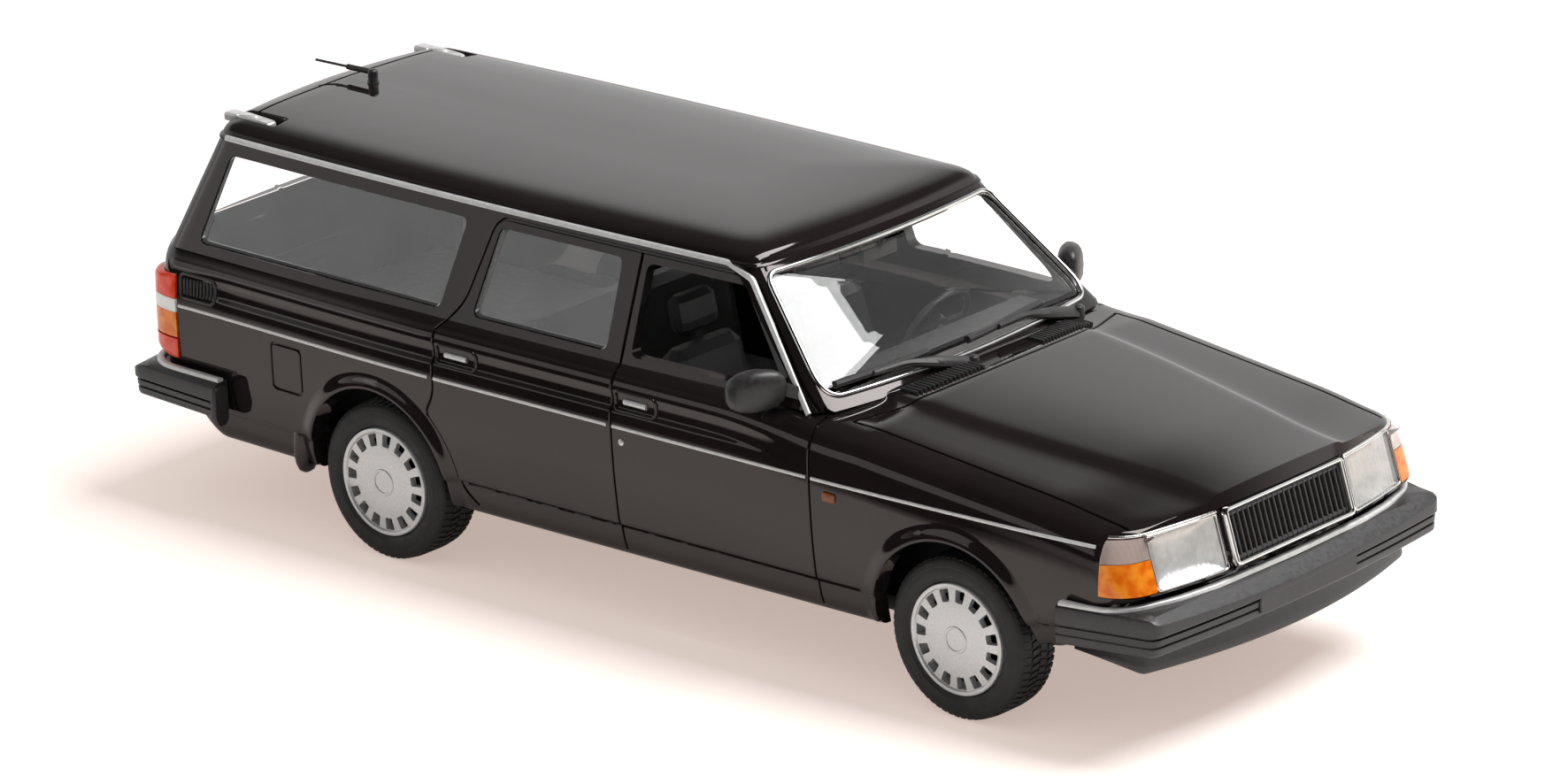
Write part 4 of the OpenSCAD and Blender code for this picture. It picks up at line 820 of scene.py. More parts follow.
class WAGON_OT_casting(bpy.types.Operator):
    """Cast body: one lacquered shell with engraved doors, cut windows and wheel openings"""
    bl_idname = "wagon.casting"
    bl_label = "Cast body"

    def execute(self, context):
        size = context.scene.wagon_sizes
        body = make_skin()
        body.name = body.data.name = "cast_body"
        wide, deep = size.panel_gap / MM, size.panel_depth / MM
        for side in (1, -1):
            low, high = flank_gap_paths()
            for points in low + high:
                where, facing = on_flank(smooth_path(points, 1.2, 0.35), side)
                carve(body, gap_cutter(where, facing, wide, deep))
            flap = corners_of(REAR_AXLE_X - 11.9, STRIP - 4.9, REAR_AXLE_X - 8.4, STRIP - 0.9)
            where, facing = on_flank(smooth_path(flap, 0.45, 0.25, True), side)
            carve(body, gap_cutter(where, facing, 0.18, 0.18, True))
        for side in (1, -1):
            edge = [(COWL - 2.4, side * (HALF_WIDTH - 3.1)), (NOSE_X - 3.2, side * (HALF_WIDTH - 3.5))]
            where, facing = on_top(smooth_path(edge, 0.5, 0.4))
            carve(body, gap_cutter(where, facing, 0.18, 0.22))
        rear_edge = [(COWL - 2.4, HALF_WIDTH - 3.1), (COWL - 0.5, HALF_WIDTH - 8.9), (COWL, 4), (COWL, -4),
                     (COWL - 0.5, -HALF_WIDTH + 8.9), (COWL - 2.4, -HALF_WIDTH + 3.1)]
        where, facing = on_top(smooth_path(rear_edge, 4, 0.4))
        carve(body, gap_cutter(where, facing, 0.2, 0.22))
        for side in (1, -1):
            gate = [(14.1, BUMPER_TOP + 0.5), (14.2, SHOULDER - 1), (13.9, BELT + 0.6), (12.6, GUTTER - 0.7)]
            where, facing = on_tail(smooth_path([(side * y, z) for y, z in gate], 1.5, 0.35))
            carve(body, gap_cutter(where, facing, 0.2, 0.22))
        y = np.linspace(-12.4, 12.4, 70)
        where, facing = on_top(np.stack([TAIL_HEAD + 1.85 - 0.2 * (1 - (y / 12.4) ** 2), y], 1))
        carve(body, gap_cutter(where, facing, 0.2, 0.26))
        for side in (1, -1):
            pocket = [(TAIL_HEAD - 3, side * (HINGE_Y - 0.95)), (TAIL_HEAD + 5.4, side * (HINGE_Y - 0.95)),
                      (TAIL_HEAD + 5.4, side * (HINGE_Y + 0.95)), (TAIL_HEAD - 3, side * (HINGE_Y + 0.95))]
            carve(body, prism(rounded(pocket, 0.5, 5), "z", HINGE_Z, HINGE_Z + 4))
        carve(body, loft(hollow_rings()))
        carve(body, loft(cabin_rings(WALL, STRIP, False)))
        for corners in (CARGO_WINDOW, REAR_DOOR_WINDOW, FRONT_DOOR_WINDOW):
            carve(body, prism(rounded(corners, 0.75), "y", -30, 30))
        for axle_x in (FRONT_AXLE_X, REAR_AXLE_X):
            carve(body, prism(arch_outline(axle_x), "y", -30, 30))
        carve(body, prism(rounded(SCREEN_OPENING, 1.1), "x", SCREEN_HEAD - 6, SCREEN_FOOT + 10))
        carve(body, prism(rounded(TAILGATE_OPENING, 0.9), "x", TAIL_FOOT - 6, TAIL_HEAD + 4))
        lean = math.atan(NOSE_LEAN)
        middle = (LAMP_FOOT + BONNET_FRONT + 0.1) / 2
        tall = (BONNET_FRONT + 0.1 - LAMP_FOOT) / math.cos(lean) / 2 + 0.06
        opening = prism([(-GRILLE_HALF - 0.06, -tall), (GRILLE_HALF + 0.06, -tall), (GRILLE_HALF + 0.06, tall),
                         (-GRILLE_HALF - 0.06, tall)], "x", -8, 6)
        carve(body, (on_grille(opening[0], middle, lean), opening[1]))
        for side in (1, -1):
            lamp = corners_of(side * (GRILLE_HALF + 0.44), LAMP_FOOT - 0.06, side * (LAMP_SPLIT + 0.06),
                              LAMP_HEAD + 0.06)
            carve(body, prism(lamp, "x", NOSE_X - 8, NOSE_X + 6))
            wrap = [(NOSE_X - 4.16, side * 25), (NOSE_X - 4.16, side * (LAMP_SPLIT - 0.06)),
                    (NOSE_X + 6, side * (LAMP_SPLIT - 0.06)), (NOSE_X + 6, side * 25)]
            carve(body, prism(wrap, "z", LAMP_FOOT - 0.06, LAMP_HEAD + 0.06))
            y, x = TAIL_LAMP_INNER - 0.08, TAIL_X + TAIL_LAMP_REACH + 0.1
            rear = [(TAIL_X - 3, side * 25), (TAIL_X - 3, side * y), (x, side * y), (x, side * 25)]
            carve(body, prism(rear, "z", TAIL_LAMP_FOOT - 0.08, TAIL_LAMP_HEAD + 0.08))
        finished(body, FINISHES["paint"], "chassis", ("body_shell",), 30)
        keep_skin_shading(body)
        lips = []
        wide = size.lip_width / MM
        u = np.linspace(0, 1, 12)
        flare = [(float(-wide * (k - 0.5)), float(0.34 * (1 - ease(k)) - 0.015)) for k in u]
        profile = [(wide / 2, -0.3), (wide / 2, 0.26)] + flare[1:] + [(-wide / 2, -0.3)]
        for axle_x in (FRONT_AXLE_X, REAR_AXLE_X):
            r = ARCH_RADIUS + wide / 2
            a = np.linspace(math.radians(-6), math.radians(186), 120)
            line = np.stack([axle_x + r * np.cos(a), ARCH_Z + r * np.sin(a)], 1)
            where, facing = on_flank(line[line[:, 1] > underside(line[:, 0]) + 0.35], -1)
            lips.append(both_sides(sweep(where, facing, profile)))
        x, a = REAR_AXLE_X - ARCH_RADIUS - 1.9, np.linspace(0, 2 * math.pi, 20, endpoint=False)
        rib = [np.stack([x + long * np.cos(a), 17.5 + wide * np.sin(a), np.full(20, z)], 1) for z, long, wide in (
            (9.2, 0.8, 1.1), (8.0, 0.95, 1.2), (7.0, 0.95, 1.15), (6.2, 0.8, 1.0), (5.65, 0.6, 0.75),
            (5.4, 0.25, 0.35))]
        lips.append(both_sides(loft(np.array(rib))))
        add_piece("arch_lips", joined(lips), FINISHES["paint"], sharp=50)
        return {"FINISHED"}


def on_grille(points, middle, lean):
    """Points drawn flat at the nose, turned onto the leaning plane of the grille."""
    p = np.asarray(points, float)
    c, s = math.cos(lean), math.sin(lean)
    base = NOSE_X + float(nose_offset(np.array(middle))) - 0.25
    return np.stack([base + p[:, 0] * c - p[:, 2] * s, p[:, 1], middle + p[:, 0] * s + p[:, 2] * c], 1)


def pane(outline, outer, inner):
    """A curved pane from its outline and the two surfaces that it lies between."""
    p = np.asarray(outline, float)
    centre = p.mean(0)
    rings = []
    for k in (0.02, 0.25, 0.5, 0.75, 0.9, 0.98, 1.0):
        rings.append(outer(mix(centre, p, k)))
    for k in (1.0, 0.98, 0.9, 0.75, 0.5, 0.25, 0.02):
        rings.append(inner(mix(centre, p, k)))
    return loft(np.array(rings))


def side_sheet(inset):
    def lay(p):
        return np.stack([p[:, 0], cabin_side(p[:, 0], cabin_level(p[:, 1])) - inset, p[:, 1]], 1)
    return lay


class WAGON_OT_panes(bpy.types.Operator):
    """Clear panes of the windscreen, rear doors, cargo bay and tailgate"""
    bl_idname = "wagon.panes"
    bl_label = "Clear panes"

    def execute(self, context):
        for name, corners in (("rear_door_glass", REAR_DOOR_WINDOW), ("cargo_glass", CARGO_WINDOW)):
            outline = grown(rounded(corners, 0.75), -0.06)
            part = pane(outline, side_sheet(0.12), side_sheet(0.12 + PANE))
            add_piece(name + "_panes", both_sides(part), FINISHES["pane"], stands_for=(name,))
        for name, corners, lay, sign in (("windscreen", SCREEN_OPENING, screen_x, 1),
                                         ("tailgate_glass", TAILGATE_OPENING, tailgate_x, -1)):
            outline = grown(rounded(corners, 1.0), -0.06)

            def sheet(inset, lay=lay):
                return lambda p: np.stack([lay(p[:, 0], p[:, 1], inset), p[:, 0], p[:, 1]], 1)
            part = pane(outline, sheet(0.15), sheet(0.15 + PANE))
            add_piece(name + "_pane", part, FINISHES["pane"], stands_for=(name,))
        return {"FINISHED"}


class WAGON_OT_trim(bpy.types.Operator):
    """Bright strips: flanks, rain gutters and windscreen surround"""
    bl_idname = "wagon.trim"
    bl_label = "Bright trim"

    def execute(self, context):
        size = context.scene.wagon_sizes
        wide = size.strip_width / MM
        parts = []
        for a, b in ((-49.5, REAR_GAP - 0.18), (REAR_GAP + 0.18, MIDDLE_GAP - 0.14),
                     (MIDDLE_GAP + 0.2, FRONT_GAP - 0.3), (FRONT_GAP + 0.05, 49.7)):
            where, facing = on_flank([(x, STRIP) for x in np.arange(a, b, 0.5)], -1)
            parts.append(both_sides(sweep(where, facing, lozenge(wide, 0.1))))
        add_piece("flank_strips", joined(parts), FINISHES["ink"], sharp=60)
        wide = size.gutter_width / MM
        rail = [(x, float(cabin_side(x, 1.0)) + 0.24, GUTTER - 0.1) for x in np.arange(-47.0, 9.2, 0.6)]
        for z in np.linspace(GUTTER - 1.0, BELT - 1.2, 24):
            t = cabin_level(z)
            x = mix(SCREEN_FOOT - 1.4, SCREEN_HEAD - 0.8, t)
            rail.append((x, float(cabin_side(x, t)) + 0.02, z))
        where = smooth_path(rail, 0.9, 0.3)
        facing = np.stack([np.zeros(len(where)), np.ones(len(where)), np.full(len(where), 0.3)], 1)
        add_piece("gutter_strips", both_sides(sweep(where, facing, lozenge(wide, 0.16, -0.2))), FINISHES["ink"],
                  sharp=60)
        wide = size.surround_width / MM
        outline = grown(rounded(SCREEN_OPENING, 1.25, 12), 0.12)
        outline = smooth_path(np.column_stack([outline, np.zeros(len(outline))]), 1.0, 0.3, True)[:, :2]
        where = np.stack([screen_x(outline[:, 0], outline[:, 1]), outline[:, 0], outline[:, 1]], 1)
        step = 0.05
        slope_y = (screen_x(where[:, 1] + step, where[:, 2]) - screen_x(where[:, 1] - step, where[:, 2])) / (2 * step)
        slope_z = (screen_x(where[:, 1], where[:, 2] + step) - screen_x(where[:, 1], where[:, 2] - step)) / (2 * step)
        facing = np.stack([np.ones(len(where)), -slope_y, -slope_z], 1)
        add_piece("screen_surround", sweep(where, facing, lozenge(wide, 0.24, -0.25), True), FINISHES["bright"],
                  sharp=60)
        return {"FINISHED"}


def nose_grid(ys, zs, out=0.0):
    """Front face of the nose over widths and heights, moved out along the length."""
    y, z = np.meshgrid(ys, zs)
    x = NOSE_X + nose_offset(z) - NOSE_SWEEP * (y / HALF_WIDTH) ** 2 + out
    return np.stack([x, y, z], 2)


def section_y(x, z):
    """Half width of the casting at a station and height on the flank."""
    s = half_section(x)[3:14]
    return np.interp(z, s[:, 1], s[:, 0])


def corner_walk(z, inner_y, reach, end):
    """Plan line at one height from the end face round the corner and along the flank, as far as reach from the end."""
    sign = 1 if end > 0 else -1
    stations = [end - sign * CORNER_ROUND * (1 - math.cos(a)) for a in np.radians(np.linspace(0, 90, 19))[1:]]
    stations += [end - sign * d for d in np.linspace(CORNER_ROUND, reach, 9)[1:]]
    line = [placed(end, np.array([(y, z)]))[0] for y in np.linspace(inner_y, float(section_y(end, z)), 7)]
    line += [placed(x, np.array([(float(section_y(x, z)), z)]))[0] for x in stations]
    line = np.array(line)
    gone = sign * (end - line[:, 0])
    last = int(np.argmax(gone > reach)) or len(line) - 1
    k = (reach - gone[last - 1]) / (gone[last] - gone[last - 1])
    line = np.concatenate([line[:last], [mix(line[last - 1], line[last], min(1.0, k))]])
    return resampled(line, 25)


def grid_normals(grid):
    across = np.gradient(grid, axis=1)
    up = np.gradient(grid, axis=0)
    n = np.cross(across, up)
    return n / np.linalg.norm(n, axis=2, keepdims=True)


def corner_slab(zs, inner_y, reach, end, proud, thick, bulge=0.0, limits=(0.0, 100.0)):
    """A lamp that wraps round a corner; it may bulge on the end face, with its top and bottom edges rounded."""
    grid = np.array([corner_walk(z, inner_y, reach, end) for z in zs])
    n = grid_normals(grid)
    if n[len(zs) // 2, -1, 1] < 0:
        n = -n
    along = 1 - ease((np.linspace(0, 1, grid.shape[1]) - 0.3) / 0.6)
    edge = np.clip(np.minimum(np.asarray(zs) - limits[0], limits[1] - np.asarray(zs)) / 0.8, 0, 1)
    lift = proud + bulge * np.sqrt(1 - (1 - edge) ** 2)[:, None] * along[None]
    return slab(grid + n * lift[:, :, None], grid - n * thick)


class WAGON_OT_lamps(bpy.types.Operator):
    """Headlamps, corner lamps, tail lamps and side markers"""
    bl_idname = "wagon.lamps"
    bl_label = "Lamps"

    def execute(self, context):
        f = FINISHES
        ys = np.linspace(GRILLE_HALF + 0.52, LAMP_SPLIT - 0.06, 25)
        zs = np.linspace(LAMP_FOOT + 0.02, LAMP_HEAD - 0.02, 17)
        lens = slab(nose_grid(ys, zs, 0.02), nose_grid(ys, zs, -0.34))
        u = np.linspace(-1, 1, len(ys))[None, :]
        v = np.linspace(-1, 1, len(zs))[:, None]
        bowl = nose_grid(ys, zs, -0.45)
        bowl[:, :, 0] -= 0.85 * (1 - np.maximum(np.abs(u), np.abs(v)) ** 4) * (1 - 0.45 * u * u) ** 0.5
        reflector = slab(bowl, nose_grid(ys, zs, -1.45))
        rim = smooth_path(corners_of(GRILLE_HALF + 0.55, LAMP_FOOT + 0.06, LAMP_SPLIT - 0.1, LAMP_HEAD - 0.02),
                          0.2, 0.25, True)
        edge = np.stack([NOSE_X + nose_offset(rim[:, 1]) - NOSE_SWEEP * (rim[:, 0] / HALF_WIDTH) ** 2,
                         rim[:, 0], rim[:, 1]], 1)
        bezel = sweep(edge, np.tile((1.0, 0.25, 0.3), (len(edge), 1)), lozenge(0.2, 0.1, -0.3), True)
        line = smooth_path(corner_walk(LAMP_HEAD + 0.16, GRILLE_HALF + 0.5, 4.1, NOSE_X), 0.1, 0.3)
        along = np.gradient(line, axis=0)
        out = np.stack([along[:, 1], -along[:, 0], np.zeros(len(line))], 1)
        out *= np.sign(out[0, 0])
        top_strip = sweep(line, out + (0, 0, 0.02), lozenge(0.26, 0.12, -0.3))
        for mark, turn in (("right", flipped), ("left", lambda part: part)):
            add_piece(f"headlamp_lens_{mark}", turn(lens), f["lens"],
                      stands_for=(f"headlamp_{mark}",))
            add_piece(f"headlamp_bowl_{mark}", turn(reflector), f["bowl"])
            add_piece(f"headlamp_bezel_{mark}", turn(bezel), f["bright"], sharp=60)
            back = corner_slab(np.linspace(LAMP_FOOT, LAMP_HEAD, 5), LAMP_SPLIT, 4.1, NOSE_X, -1.03, 1.3)
            add_piece(f"corner_lamp_housing_{mark}", turn(back), f["bowl"])
            add_piece(f"lamp_top_strip_{mark}", turn(top_strip), f["bright"], sharp=60)
            split = mix(LAMP_FOOT, LAMP_HEAD, 0.6)
            inner, reach = LAMP_SPLIT + 0.03, 4.07
            low = corner_slab(np.linspace(LAMP_FOOT + 0.03, split - 0.03, 9), inner, reach, NOSE_X, 0.1, 1.0)
            high = corner_slab(np.linspace(split + 0.03, LAMP_HEAD - 0.03, 7), inner, reach, NOSE_X, 0.1, 1.0)
            add_piece(f"corner_lamp_amber_{mark}", turn(low), f["amber"],
                      stands_for=(f"corner_lamp_{mark}",))
            add_piece(f"corner_lamp_clear_{mark}", turn(high), f["rose"])
            foot, head, inner, reach = TAIL_LAMP_FOOT, TAIL_LAMP_HEAD, TAIL_LAMP_INNER, TAIL_LAMP_REACH
            back = corner_slab(np.linspace(foot, head, 6), inner, reach, TAIL_X, -1.03, 1.35)
            add_piece(f"tail_lamp_housing_{mark}", turn(back), f["satin"])
            bands = ((0.0, 0.23, "red"), (0.25, 0.55, "amber"), (0.55, 0.71, "white_lens"), (0.71, 1.0, "red"))
            for number, (a, b, tone) in enumerate(bands):
                levels = np.linspace(mix(foot, head, a) + 0.02, mix(foot, head, b) - 0.02, 15)
                part = corner_slab(levels, inner, reach, TAIL_X, 0.15, 1.0, 0.95, (foot, head))
                add_piece(f"tail_lamp_band_{number}_{mark}", turn(part), f[tone],
                          stands_for=(f"tail_lamp_{mark}",) if number == 0 else ())
        where, facing = on_flank(rounded(corners_of(22.55, 16.1, 23.85, 16.9), 0.15, 3), -1)
        centre = where.mean(0)
        rims = [mix(centre, where, share) + facing * proud
                for share, proud in ((1.0, -0.2), (1.0, 0.1), (0.85, 0.2), (0.1, 0.22))]
        add_piece("side_markers", both_sides(loft(np.array(rims))), f["marker"])
        return {"FINISHED"}


# Heights above the bumper's foot and how far each point stands behind the face
BUMPER_RIBS = [(0.0, -0.5), (0.1, -0.36), (0.26, -0.26), (0.72, -0.22), (0.78, -0.42), (0.9, -0.42), (0.95, -0.2),
               (1.42, -0.16), (1.48, -0.46), (1.62, -0.46), (1.68, -0.06), (1.78, 0.0)]


def wrap_line(left, radius, count=121):
    """A plan line of one half with rounded corners, carried round to the other side, at an even count of points."""
    fine = smooth_path(left, radius, 0.05)
    line = np.concatenate([fine * (1, -1), fine[-2::-1]])
    line = resampled(line, count)
    edge = np.gradient(line, axis=0)
    out = np.stack([edge[:, 1], -edge[:, 0]], 1)
    return line, out / np.linalg.norm(out, axis=1, keepdims=True)


def front_line(face_x, back_x, half, bow, taper):
    """Plan line of a bumper: a bowed face, tight corners and sides that spread towards the wheels."""
    y = np.linspace(1, 0, 13) * (half - taper)
    face = np.stack([face_x - bow * (y / (half - taper)) ** 2, y], 1)
    return wrap_line(np.concatenate([[(back_x, half)], face]), 0.9)


def from_nose(pairs):
    return np.array([(NOSE_X + x, HALF_WIDTH - y) for x, y in pairs])


# A bright strip's profile: the share of the way from its rim to its seat, and the height
STRIP_SHAPE = ((0.0, 0.0), (0.0, 0.2), (0.08, 0.3), (0.25, 0.35), (0.75, 0.35), (0.92, 0.3), (1.0, 0.2), (1.0, 0.0))


def bright_strip(rim, seat, level):
    """The bright strip of a bumper, laid between two plan lines."""
    return loft(np.array([[(*mix(a, b, k), level + z) for k, z in STRIP_SHAPE] for a, b in zip(rim, seat)]))


def rounded_edge(x, y, nx, ny, level):
    """Points over the rounded top edge of a bumper's face."""
    return [(x - nx * d, y - ny * d, level + z) for d, z in ((0.0, -0.16), (0.02, -0.06), (0.1, 0.03))]


class WAGON_OT_bumpers(bpy.types.Operator):
    """Bumpers with ribbed faces and bright top strips, and the front air dam"""
    bl_idname = "wagon.bumpers"
    bl_label = "Bumpers"

    def front(self):
        """The front bumper and its strip: the top slopes up from the face to the foot of the nose."""
        foot, top, back_x = BUMPER_FOOT, BUMPER_TOP, BUMPER_FACE - 9.6
        line, out = front_line(BUMPER_FACE, back_x, HALF_WIDTH + 0.35, 1.0, 1.8)
        nose = [(-4.8, 0.7), (-3.7, 0.98), (-2.8, 1.6), (-2, 2.95), (-0.9, 6.5), (-0.45, 10.2), (-0.15, HALF_WIDTH)]
        inner, _ = wrap_line(from_nose([(back_x - NOSE_X, 0.6)] + nose), 0.6)
        rings = []
        for (x, y), (nx, ny), (ix, iy) in zip(line, out, inner):
            drop = max(0.0, x - 54.3) * 0.5835
            edge = top - max(drop, 0.12)
            ring = [(x + nx * o, y + ny * (o * mix(0.3, 1.0, min(1.0, abs(nx)))), foot + z) for z, o in BUMPER_RIBS]
            ring += rounded_edge(x, y, nx, ny, edge)
            k = min(0.9, max(0.16, (x - 54.3) / max(0.2, x - ix)))
            ring += [(mix(x, ix, k), mix(y, iy, k), top - 0.01), (ix, iy, top - 0.01), (ix, iy, foot)]
            rings.append(ring)
        part = loft(np.array(rings))
        plate = rounded(corners_of(-6.2, foot + 0.12 * BUMPER_HEIGHT, 6.2, foot + 0.6 * BUMPER_HEIGHT), 0.2, 3)
        rims = [np.column_stack([np.full(len(plate), BUMPER_FACE - d), mix(plate.mean(0), plate, k)])
                for d, k in ((1.0, 1.0), (0.2, 1.0), (0.12, 0.985), (0.11, 0.1))]
        part = joined([part, loft(np.array(rims))])
        rim, _ = wrap_line(from_nose([(back_x + 0.2 - NOSE_X, -0.2), (-4.6, 0.35), (-3.3, 0.65), (-2.25, 1.35),
                                      (-1.4, 2.7), (-0.25, 6.3), (0.25, 10.1), (0.5, HALF_WIDTH)]), 0.6)
        seat, _ = wrap_line(from_nose([(back_x + 0.2 - NOSE_X, 0.6)] + nose), 0.6)
        return part, bright_strip(rim, seat, top)

    def tail(self):
        """The rear bumper and its strip, drawn as if they faced forward: the strip lies on the top's inner edge."""
        foot, top, back_x = BUMPER_FOOT, BUMPER_TOP, BUMPER_FACE - 11.9
        line, out = front_line(BUMPER_FACE, back_x, HALF_WIDTH + 0.75, 1.5, 0.9)
        walk = corner_walk(top - 0.1, 0.0, -back_x - TAIL_X, TAIL_X)[::-1, :2] * (-1, 1)
        body, away = wrap_line(walk, 0.6)
        rim, seat = body + away * 1.12, body + away * 0.5
        rings = []
        for (x, y), (nx, ny), (rx, ry), (bx, by) in zip(line, out, rim, body + away * 0.06):
            edge = top - mix(0.25, 0.8, min(1.0, max(0.0, nx)) ** 0.5)
            ring = [(x + nx * o, y + ny * o, foot + z * 0.95) for z, o in BUMPER_RIBS]
            ring += rounded_edge(x, y, nx, ny, edge)
            ring += [(mix(x, rx, 0.9), mix(y, ry, 0.9), top - 0.12), (rx, ry, top - 0.06),
                     (bx, by, top - 0.06), (bx, by, foot)]
            rings.append(ring)
        cap = rounded([(18.9, 9.3), (18.9, 12.5), (20.5, 12.3), (20.55, 9.7), (20.1, 8.8), (19.3, 8.8)], 0.35, 4)
        ends = [np.column_stack([np.full(len(cap), back_x + d), mix(cap.mean(0), cap, k)])
                for d, k in ((0.3, 0.97), (0.2, 1.0), (-0.15, 1.0), (-0.3, 0.93), (-0.32, 0.1))]
        part = joined([loft(np.array(rings)), both_sides(loft(np.array(ends)))])
        return part, bright_strip(rim, seat, top - 0.06)

    def execute(self, context):
        f = FINISHES
        rear = [(np.asarray(v) * (-1, -1, 1) - (0, 0, 0.4), faces) for v, faces in self.tail()]
        for name, (part, bright) in (("front_bumper", self.front()), ("rear_bumper", rear)):
            add_piece(name + "_moulding", part, f["satin"], stands_for=(name,), sharp=28)
            add_piece(name + "_bright_strip", bright, f["ink"], stands_for=(name + "_strip",), sharp=50)
        low, head = NOSE_UNDERSIDE - 2.1, NOSE_UNDERSIDE - 0.06
        line, out = front_line(NOSE_X + 1.0, FRONT_AXLE_X + ARCH_RADIUS + 4.4, HALF_WIDTH - 0.8, 2.5, 2.1)
        shape = ((0.0, -0.4), (0.03, -0.18), (0.1, -0.03), (0.21, 0.0), (0.4, -0.05), (0.7, -0.16), (1.0, -0.22))
        rings = []
        for (x, y), (nx, ny) in zip(line, out):
            start = low + max(0.0, 52.4 - x) * math.tan(math.radians(19))
            ring = [(x + nx * o, y + ny * o, mix(start, head, z)) for z, o in shape]
            rings.append(ring + [(x - nx * 1.2, y - ny * 1.2, head), (x - nx * 1.2, y - ny * 1.2, start)])
        add_piece("air_dam", loft(np.array(rings)), f["satin"],
                  stands_for=("front_spoiler",), sharp=28)
        return {"FINISHED"}


class WAGON_OT_grille(bpy.types.Operator):
    """Radiator grille: bright frame with upright black slats"""
    bl_idname = "wagon.grille"
    bl_label = "Grille"

    def execute(self, context):
        lean = math.atan(NOSE_LEAN)
        middle = (LAMP_FOOT + BONNET_FRONT + 0.1) / 2
        tall = (BONNET_FRONT + 0.1 - LAMP_FOOT) / math.cos(lean) / 2
        outline = smooth_path(corners_of(-GRILLE_HALF + 0.2, -tall + 0.2, GRILLE_HALF - 0.2, tall - 0.2),
                              0.25, 0.2, True)
        path = np.column_stack([np.zeros(len(outline)), outline])
        facing = np.tile((1.0, 0, 0), (len(path), 1))
        shape = [(-0.2, -1.2), (-0.2, 0.22), (-0.12, 0.36), (0.0, 0.4), (0.12, 0.36), (0.2, 0.22), (0.2, -1.2)]
        v, fc = sweep(path, facing, shape, True)
        add_piece("grille_bright_frame", (on_grille(v, middle, lean), fc), FINISHES["bright"],
                  stands_for=("grille_frame",), sharp=40)
        count = context.scene.wagon_sizes.slats
        wide, high = GRILLE_HALF - 0.46, tall - 0.46
        pitch = 2 * wide / count
        parts = [prism([(-wide, -high), (wide, -high), (wide, high), (-wide, high)], "x", -1.28, -0.8)]
        for i in range(count + 1):
            y = -wide + pitch * i
            y = min(max(y, -wide + 0.13), wide - 0.13)
            fin = ((-0.13, -0.82), (-0.13, -0.05), (-0.07, 0.06), (0.07, 0.06), (0.13, -0.05), (0.13, -0.82))
            parts.append(loft(np.array([[(x, y + side, z) for side, x in fin] for z in (-high, high)])))
        for z in (-high + 0.17, high - 0.17):
            bar = [(-0.82, z - 0.17), (-0.02, z - 0.17), (0.04, z), (-0.02, z + 0.17), (-0.82, z + 0.17)]
            parts.append(loft(np.array([[(x, y, zz) for x, zz in bar] for y in (-wide, wide)])))
        v, fc = joined(parts)
        add_piece("grille_black_slats", (on_grille(v, middle, lean), fc), FINISHES["satin"],
                  stands_for=("grille_slats",), sharp=30)
        return {"FINISHED"}


def wheel_places():
    return [(f"{end}_{mark}", (x, side * FACE_Y, AXLE_Z), side, f"{end}_wheelset")
            for end, x in (("front", FRONT_AXLE_X), ("rear", REAR_AXLE_X))
            for mark, side in (("right", -1), ("left", 1))]


